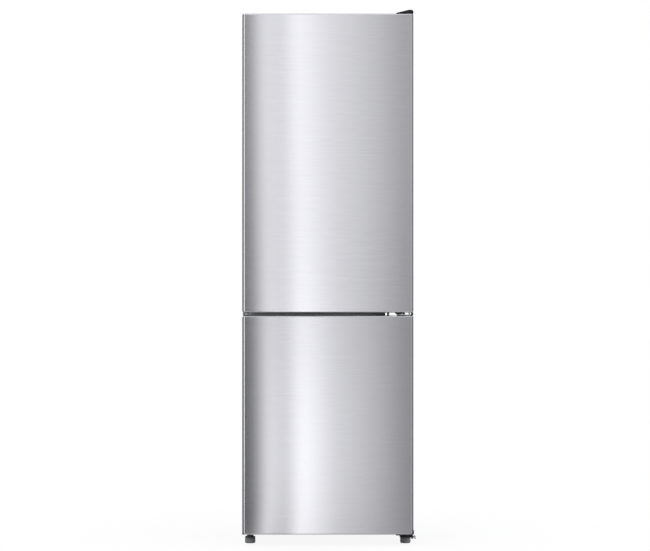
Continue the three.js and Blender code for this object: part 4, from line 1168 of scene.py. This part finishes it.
class REFRIGERATOR_OT_controls(Piece):
    """The housing under the fridge's ceiling, its lamp cover and the knob"""

    bl_idname = "refrigerator.controls"
    bl_label = "Controls"

    def make(self):
        softened("control_housing", "control_box", "white", 2.2, 4)
        x, y, z = span("lamp_cover")
        bm = bmesh.new()
        loft(bm, rings(bm, "z", x, y, [
            (z[1], 0, 8), (z[0] + 3, 0, 8), (z[0] + 1, 0.8, 8), (z[0] + 0.2, 3, 7),
        ]))
        for at in evenly(inset(x, 10), 12):  # ribs that spread the light
            slab(bm, around(at, 3), inset(y, 8), [z[0] - 0.4, z[0] + 1], 0.6, 2)
        settle(bm, "lamp_lens", "clear", "cabinet", ("lamp_cover",))

        x, y, z = span("thermostat_knob")
        cx, cz = middle(x), middle(z)
        front, back = y[0] + 2, -130.3
        bm = bmesh.new()
        turned(bm, "y", (cx, cz), [
            (0, back), (13.5, back), (15, back - 1.2), (14.6, front + 2), (13.2, front + 0.4),
            (12, front), (0, front),
        ], 48)
        slab(bm, around(cx, 5), [front - 2, front + 2], [cz - 12.5, cz + 12.5], 1.2, 3)
        rod(bm, "y", (cx, cz), 3, [back - 1, back + 8], 16)
        settle(bm, "knob_grip", "white", "knob", ("thermostat_knob",))
        blocks("knob_pointer", "dark", "knob",
               [(around(cx, 1.6), [front - 2.3, front - 1.5], [cz + 3, cz + 12], 0.3, 1)])
        face = span("control_housing")[1][0]
        away, squash = 16.6, 0.98  # the dots' distance from the knob, a little less up and down
        bm = bmesh.new()
        for k in range(8):  # raised dots round the knob's travel
            t = math.radians(225 - 270 * k / 7)
            turned(bm, "y", (cx + away * math.cos(t), cz + away * math.sin(t) * squash), [
                (0, face + 0.3), (0.7, face + 0.3), (0.7, face - 0.3), (0.3, face - 0.6),
                (0, face - 0.6),
            ], 10)
        settle(bm, "knob_dots", "dark", "cabinet")


# ---- Back and machine compartment ----
class REFRIGERATOR_OT_condenser(Piece):
    """The condenser: one tube to and fro, with upright wires on both sides of it"""

    bl_idname = "refrigerator.condenser"
    bl_label = "Condenser"

    def make(self):
        half, riser, tube = 240, 268, 2.5  # half its width, the riser's place, the tube's radius
        line, wall = 302, 262  # places on Y of the tube's level runs and of both its ends
        first, pitch, runs = 330, 90, 13
        top = first + (runs - 1) * pitch
        low, climb = 185, 242  # heights of the tube's ends, and of its step out to the wires
        corners = [
            (-half, wall, low), (-half, wall, climb), (-half, line, climb), (-half, line, first),
        ]
        for run in range(runs):
            side, height = 1 if run % 2 == 0 else -1, first + run * pitch
            if run:
                corners.append((-side * half, line, height))
            corners.append((side * (riser if run == runs - 1 else half), line, height))
        corners += [(riser, line, climb), (riser, wall, climb), (riser, wall, low)]
        corners = [Vector(c) for c in corners]
        points = [corners[0]]
        for before, corner, after in zip(corners, corners[1:], corners[2:]):
            reach = min((corner - before).length, (after - corner).length)
            bend = min(reach / 2, 45 if reach <= pitch else 12)
            points += bent([before, corner, after], bend, 7)[1:-1]
        points.append(corners[-1])
        bm = bmesh.new()
        pipe(bm, points, tube, 2)
        settle(bm, "condenser_tube", "enamel", "cabinet", ("condenser_coil",),
               smooth=65)

        wire, step = size("wire"), size("wire_pitch")
        reach = [first - 36, top + 36]
        count = int(2 * (half - 12) / step) + 1
        bm = bmesh.new()
        for k in range(count):
            at = -(count - 1) * step / 2 + k * step
            for side in (-1, 1) if k % 2 == 0 else (-1,):  # every other wire on the outside
                rod(bm, "z", (at, line + side * (tube + wire) * 0.92), wire, reach, 5, 0.2)
        settle(bm, "condenser_wires", "enamel", "cabinet", smooth=80)

        # two flat strips hold the wires, and turn to the back sheet at their ends
        ends, width, inner = [first - 45, top + 45], 12, line - 3
        bm = bmesh.new()
        for at in (-160, 160):
            slab(bm, around(at, width), [inner - 1.4, inner], ends, 0.5, 2)
            for height in ends:
                slab(bm, around(at, width), [282, inner], around(height, width), 0.8, 2)
                screw(bm, "y", (at, height), inner)
        settle(bm, "condenser_brackets", "enamel", "cabinet")


class REFRIGERATOR_OT_machine(Piece):
    """The compressor and what is round it in the compartment low at the back"""

    bl_idname = "refrigerator.machine"
    bl_label = "Machine compartment"

    def make(self):
        lining_x = inset(span("cabinet_foam")[0], 0.4)
        front, top = 72, 262  # places of the compartment's front wall and its ceiling
        blocks("machine_lining", "zinc", "cabinet", [
            (lining_x, [front, front + 0.8], [32.3, top - 0.5]),
            (lining_x, [front, 280.5], [top - 1.2, top - 0.4]),
        ])
        self.compressor(120, 178)
        self.pipes()

        x, y, z = span("filter_drier")
        bm = bmesh.new()
        turned(bm, "z", (middle(x), middle(y)), [
            (0, z[0]), (2.6, z[0]), (3, z[0] + 10), (8, z[0] + 17), (11, z[0] + 22),
            (11, z[1] - 22), (9, z[1] - 17), (4, z[1] - 10), (3.6, z[1]), (0, z[1]),
        ], 32)
        settle(bm, "drier_body", "copper", "cabinet", ("filter_drier",))
        bm = bmesh.new()
        vessel(bm, *span("drip_tray"), wall=2, corner=12, base=4)
        settle(bm, "water_tray", "dark", "cabinet", ("drip_tray",))
        softened("drain_hose", "drain_pipe", "dark", 0.4, 1, angle=60)

        x, y, z = span("mains_inlet")
        cx, cz = middle(x), middle(z)
        bm = bmesh.new()
        loops = rings(bm, "y", x, z, [
            (y[0], 1, 3), (y[0] + 1, 0, 3), (y[1] - 1, 0, 3), (y[1], 1, 3),
        ])
        loops += rings(bm, "y", around(cx, 30), around(cz, 24), [
            (y[1], 0, 4), (y[1] - 16, 0.5, 4),
        ])
        loft(bm, loops)
        settle(bm, "inlet_socket", "black", "cabinet", ("mains_inlet",))
        blocks("inlet_pins", "bright", "cabinet", [
            (around(cx + dx, 2), [y[1] - 17, y[1] - 3], around(cz + dz, 4), 0.5, 2)
            for dx, dz in ((-7, -2), (7, -2), (0, 4))
        ])

    def compressor(self, cx, cy):
        """The welded can on its four mounts, with the box of its terminals."""
        low, high, girth = 50, 216, 76  # its base, its top and its radius
        seam = middle([low, high]) + 12
        dome = [(1 - math.sin(t), 1 - math.cos(t)) for t in quarter(8)]
        profile = [(0, low), *[(girth - 38 * into, low + 40 * up) for into, up in dome]]
        profile += [
            (girth, seam - 4), (girth + 2.2, seam - 3), (girth + 2.6, seam),
            (girth + 2.2, seam + 3), (girth - 1, seam + 4),
        ]
        profile += [(girth - 1 - 37 * into, high - 40 * down) for into, down in dome[::-1]]
        profile.append((0, high))
        bm = bmesh.new()
        turned(bm, "z", (cx, cy), profile, 64)
        slab(bm, around(cx, 140), around(cy, 140), [47, 50.5], 6, 4, along="z")
        settle(bm, "compressor_shell", "enamel", "cabinet", ("compressor",))
        mounts = [(cx + dx, cy + dy) for dx in (-61, 61) for dy in (-61, 61)]
        bm = bmesh.new()
        for at in mounts:
            turned(bm, "z", at, [
                (3, 32), (9, 32), (9, 36), (7, 38), (7, 40), (9, 42), (9, 46.8), (3, 46.8),
                (3, 32),
            ], 24)
        settle(bm, "compressor_mounts", "dark", "cabinet")
        bm = bmesh.new()
        for at in mounts:
            screw(bm, "z", at, 51, radius=4.5)
        settle(bm, "compressor_bolts", "bright", "cabinet")
        blocks("terminal_box", "black", "cabinet", [
            ([18, 46], around(cy, 70), [88, 158], 5, 3),
            ([16.6, 18.4], around(cy, 60), [94, 152], 2, 2),
        ])

    def pipes(self):
        """The copper pipes, each by its corners, the radius of its bends and its own radius."""
        bm = bmesh.new()
        for corners, bend, radius in (
            ([(-240, 262, 82), (-240, 262, 62), (-240, 210, 62), (-60, 210, 62), (-60, 120, 62),
              (-60, 84, 62), (-60, 84, 100), (-60, 74, 100)], 9, 1.2),
            ([(268, 262, 186), (268, 262, 120), (240, 262, 120), (240, 190, 120),
              (196, 190, 120)], 14, 2.5),
            ([(100, 74, 200), (100, 88, 200), (70, 88, 200), (58, 96, 200), (58, 120, 150),
              (62, 130, 140)], 10, 4),
            # the filling tube, pinched shut
            ([(148, 246, 136), (148, 262, 136), (148, 262, 178)], 9, 3),
        ):
            pipe(bm, bent(corners, bend), radius)
        slab(bm, around(148, 7.6), around(262, 2.2), [176, 188], 0.8, 2)
        settle(bm, "copper_pipes", "copper", "cabinet", smooth=65)


class REFRIGERATOR_OT_spacers(Piece):
    """The two spacers that hold the back off the wall"""

    bl_idname = "refrigerator.spacers"
    bl_label = "Wall spacers"

    def make(self):
        for side in ("left", "right"):
            node = f"wall_spacer_{side}"
            x, y, z = span(node)
            bm = bmesh.new()
            loft(bm, rings(bm, "y", x, z, [
                (y[0], 0, 7), (y[0] + 4, 0, 7), (y[0] + 4, 4, 6), (y[1] - 2, 6, 5), (y[1], 8, 4),
            ]))
            for away in (-17, 17):
                screw(bm, "y", (middle(x) + away, middle(z)), y[0] + 4, radius=1.8)
            settle(bm, f"{side}_spacer", "black", "cabinet", (node,))


class REFRIGERATOR_OT_cad_finishes(Piece):
    """Finishes of the CAD nodes that stay as they are"""

    bl_idname = "refrigerator.cad_finishes"
    bl_label = "Finishes of the plain parts"

    def make(self):
        for node, finish in (("cabinet_foam", "foam"), ("fridge_door_core", "foam"),
                             ("freezer_door_core", "foam"), ("evaporator_coil", "aluminium")):
            mesh = frame["nodes"][node].data
            mesh.materials.clear()
            mesh.materials.append(FINISH[finish])


# ---- Stage ----
IMAGE = (650, 551)
CAMERA_AWAY = 8000  # in front of the doors: a long lens, seen by how little the sides show
PIXEL = 3.4695  # millimetres to a pixel at the doors' front
CENTRE_X, CAMERA_Z = -9.7, 937.3  # the camera's place across and its height
SENSOR = 36  # width of the camera's sensor, in millimetres
# the card's brightness at places across it, in metres: it gives the steel its upright bands
CARD_LEVELS = [
    (-1.0, 0.5), (-0.82, 0.95), (-0.52, 0.75), (-0.44, 0.2), (-0.34, 0.13), (-0.28, 0.17),
    (-0.225, 0.86), (-0.185, 0.64), (-0.15, 0.6), (-0.1, 0.95), (-0.05, 0.83), (0.04, 0.65),
    (0.12, 0.59), (0.21, 0.49), (0.32, 0.33), (0.48, 0.34), (1.0, 0.45),
]
CARD_HALF, CARD_CENTRE = 1600, (0, -1150, 1250)  # in millimetres
BAND_LEAN = 0.012  # how far the bands lean to the side, by their height
# a spot of floor before the doors that shows the bands in them: its centre, and the distances
# between which it fades, in metres
SPOT_CENTRE, SPOT_FADE = (0, -0.75, 0), (0.34, 0.54)
# each lamp's name, place, what it points at, width and power
LAMPS = [
    ("key", (-2.6, -4.2, 3.2), (0, -0.2, 1.0), 2.4, 68),
    ("fill", (3.0, -3.6, 2.0), (0, -0.2, 0.9), 2.4, 60),
    ("rear", (-1.8, 4.2, 2.8), (0, 0.2, 0.9), 2.4, 66),
    ("side", (4.2, 1.4, 2.4), (0, 0, 0.9), 2.0, 30),
]


class REFRIGERATOR_OT_stage(bpy.types.Operator):
    """The pale floor, the soft light, the card that the doors mirror, and the camera"""

    bl_idname = "refrigerator.stage"
    bl_label = "Stage"

    def execute(self, context):
        scene = context.scene
        scene.view_settings.view_transform = "Standard"
        self.surroundings(scene)
        self.floor()
        self.card()
        for lamp in LAMPS:
            self.lamp(*lamp)

        lens = bpy.data.cameras.new("camera")
        lens.sensor_width = SENSOR
        lens.lens = SENSOR * CAMERA_AWAY / (IMAGE[0] * PIXEL)
        lens.clip_end = 100
        camera = bpy.data.objects.new("camera", lens)
        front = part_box("fridge_door_skin")[0].y
        camera.location = (CENTRE_X * MM, front - CAMERA_AWAY * MM, CAMERA_Z * MM)
        camera.rotation_euler = (math.pi / 2, 0, 0)
        scene.collection.objects.link(camera)
        scene.camera = camera
        return {"FINISHED"}

    def surroundings(self, scene):
        """A soft light from all sides, seen as plain white by the camera, a mirror or glass."""
        world = bpy.data.worlds.new("studio")
        scene.world = world
        world.use_nodes = True
        tree = world.node_tree
        rays = add_node(tree, "ShaderNodeLightPath").outputs
        mirror = add_node(
            tree, "ShaderNodeMath", {0: rays["Is Camera Ray"], 1: rays["Is Glossy Ray"]},
            operation="MAXIMUM",
        )
        seen = add_node(
            tree, "ShaderNodeMath", {0: mirror, 1: rays["Is Transmission Ray"]},
            operation="MAXIMUM",
        )
        ambient = tree.nodes["Background"]
        feed(tree, ambient, {"Color": linear("#F2F4F8"), "Strength": 0.8})
        white = add_node(tree, "ShaderNodeBackground", {"Color": (1, 1, 1, 1), "Strength": 1})
        mixed = add_node(tree, "ShaderNodeMixShader", {0: seen, 1: ambient, 2: white})
        feed(tree, tree.nodes["World Output"], {"Surface": mixed})

    def floor(self):
        """The matt pale floor. The camera sees it nearly as bright as what is behind it."""
        floor = self.plane("floor", 9000, (0, 0, 0), Matrix.Identity(3))
        finish, tree, shader, at = fresh("pale_floor")
        feed(tree, shader, {
            "Base Color": linear("#F0F0F0"), "Roughness": 0.9, "Specular IOR Level": 0.1,
        })
        away = add_node(tree, "ShaderNodeVectorMath", {0: at}, operation="LENGTH")
        fade = add_node(
            tree, "ShaderNodeMapRange",
            {"Value": away.outputs["Value"], "From Min": 0.4, "From Max": 1.3, "To Min": 0.9,
             "To Max": 1.0},
        )
        rays = add_node(tree, "ShaderNodeLightPath").outputs
        share = add_node(
            tree, "ShaderNodeMath", {0: rays["Is Camera Ray"], 1: fade, 2: rays["Is Glossy Ray"]},
            operation="MULTIPLY_ADD",
        )
        spot = add_node(
            tree, "ShaderNodeVectorMath", {0: at, 1: SPOT_CENTRE}, operation="DISTANCE"
        )
        before = add_node(
            tree, "ShaderNodeMapRange",
            {"Value": spot.outputs["Value"], "From Min": SPOT_FADE[0], "From Max": SPOT_FADE[1],
             "To Min": 1.0, "To Max": 0.0},
        )
        mirrored = add_node(
            tree, "ShaderNodeMix", {"Factor": before, 2: 0.55, 3: self.bands(tree, at, 0.7)}
        )
        strength = add_node(
            tree, "ShaderNodeMix", {"Factor": rays["Is Glossy Ray"], 2: 1.0, 3: mirrored}
        )
        glow = add_node(
            tree, "ShaderNodeEmission", {"Color": (1, 1, 1, 1), "Strength": strength}
        )
        mixed = add_node(tree, "ShaderNodeMixShader", {0: share, 1: shader, 2: glow})
        feed(tree, tree.nodes["Material Output"], {"Surface": mixed})
        floor.data.materials.append(finish)

    def card(self):
        """A graded card in front of the doors that only shows in their reflections."""
        turn = Matrix.Rotation(math.pi / 2, 3, "X")
        card = self.plane("graded_card", CARD_HALF, CARD_CENTRE, turn, (1, 0.9))
        for hidden in ("camera", "diffuse", "transmission", "shadow"):
            setattr(card, f"visible_{hidden}", False)
        finish, tree, _, at = fresh("graded_card")
        glow = add_node(
            tree, "ShaderNodeEmission",
            {"Color": linear("#FAFAFC"), "Strength": self.bands(tree, at)},
        )
        feed(tree, tree.nodes["Material Output"], {"Surface": glow})
        card.data.materials.append(finish)

    def bands(self, tree, at, power=1.0):
        """The strength of the upright bands of light at a place, in metres."""
        across = add_node(tree, "ShaderNodeSeparateXYZ", {"Vector": at}).outputs
        slanted = add_node(
            tree, "ShaderNodeMath", {0: across["Z"], 1: BAND_LEAN, 2: across["X"]},
            operation="MULTIPLY_ADD",
        )
        share = add_node(
            tree, "ShaderNodeMapRange", {"Value": slanted, "From Min": -1.0, "From Max": 1.0}
        )
        ramp = add_node(tree, "ShaderNodeValToRGB", {"Fac": share})
        elements = ramp.color_ramp.elements
        while len(elements) < len(CARD_LEVELS):
            elements.new(0.5)
        for element, (x, level) in zip(elements, CARD_LEVELS):
            element.position = (x + 1) / 2
            element.color = (level, level, level, 1)
        # low down the card's dark parts are darker, and its bright ones brighter
        contrast, strength = [
            add_node(
                tree, "ShaderNodeMapRange",
                {"Value": across["Z"], "From Min": 0.3, "From Max": top, "To Min": low,
                 "To Max": high},
            )
            for top, low, high in ((1.3, 1.47, 1.0), (0.9, 2.24 * power, 1.62 * power))
        ]
        level = add_node(tree, "ShaderNodeMath", {0: ramp, 1: contrast}, operation="POWER")
        return add_node(tree, "ShaderNodeMath", {0: level, 1: strength}, operation="MULTIPLY")

    def plane(self, name, half, centre, turn, stretch=(1, 1)):
        """A square of the stage, by half its width and its centre in millimetres."""
        bm = bmesh.new()
        verts = bmesh.ops.create_grid(bm, x_segments=1, y_segments=1, size=half * MM)["verts"]
        bmesh.ops.scale(bm, vec=(*stretch, 1), verts=verts)
        bmesh.ops.rotate(bm, cent=(0, 0, 0), matrix=turn, verts=verts)
        bmesh.ops.translate(bm, vec=[c * MM for c in centre], verts=verts)
        mesh = bpy.data.meshes.new(name)
        bm.to_mesh(mesh)
        bm.free()
        made = bpy.data.objects.new(name, mesh)
        bpy.context.scene.collection.objects.link(made)
        return made

    def lamp(self, name, at, towards, width, power):
        """A square lamp, in metres and watts, that the camera doesn't see."""
        light = bpy.data.lights.new(name, "AREA")
        light.shape = "SQUARE"
        light.size = width
        light.energy = power
        made = bpy.data.objects.new(name, light)
        made.location = at
        made.rotation_mode = "QUATERNION"
        made.rotation_quaternion = (Vector(towards) - Vector(at)).to_track_quat("-Z", "Y")
        made.visible_camera = False
        bpy.context.scene.collection.objects.link(made)


class REFRIGERATOR_PT_panel(bpy.types.Panel):
    """Lists the sizes, the colours and the steps"""

    bl_label = "Refrigerator"
    bl_idname = "REFRIGERATOR_PT_panel"
    bl_space_type = "VIEW_3D"
    bl_region_type = "UI"
    bl_category = "Refrigerator"

    def draw(self, context):
        for group in (context.scene.refrigerator_sizes, context.scene.refrigerator_colours):
            for name in group.__annotations__:
                self.layout.prop(group, name)
        for step in STEPS:
            self.layout.operator(step.bl_idname)


STEPS = [
    REFRIGERATOR_OT_stage,
    REFRIGERATOR_OT_cad_finishes,
    REFRIGERATOR_OT_casing,
    REFRIGERATOR_OT_liners,
    REFRIGERATOR_OT_door_skins,
    REFRIGERATOR_OT_door_caps,
    REFRIGERATOR_OT_door_inners,
    REFRIGERATOR_OT_door_seals,
    REFRIGERATOR_OT_door_bins,
    REFRIGERATOR_OT_hinges,
    REFRIGERATOR_OT_feet,
    REFRIGERATOR_OT_shelves,
    REFRIGERATOR_OT_drawers,
    REFRIGERATOR_OT_cold_air,
    REFRIGERATOR_OT_controls,
    REFRIGERATOR_OT_condenser,
    REFRIGERATOR_OT_machine,
    REFRIGERATOR_OT_spacers,
]
CLASSES = [RefrigeratorColours, RefrigeratorSizes, *STEPS, REFRIGERATOR_PT_panel]


def register():
    for item in CLASSES:
        bpy.utils.register_class(item)
    bpy.types.Scene.refrigerator_colours = PointerProperty(type=RefrigeratorColours)
    bpy.types.Scene.refrigerator_sizes = PointerProperty(type=RefrigeratorSizes)


def unregister():
    del bpy.types.Scene.refrigerator_sizes
    del bpy.types.Scene.refrigerator_colours
    for item in reversed(CLASSES):
        bpy.utils.unregister_class(item)


def main():
    register()
    for step in STEPS:
        group, name = step.bl_idname.split(".")
        getattr(getattr(bpy.ops, group), name)()


if __name__ == "__main__":
    main()
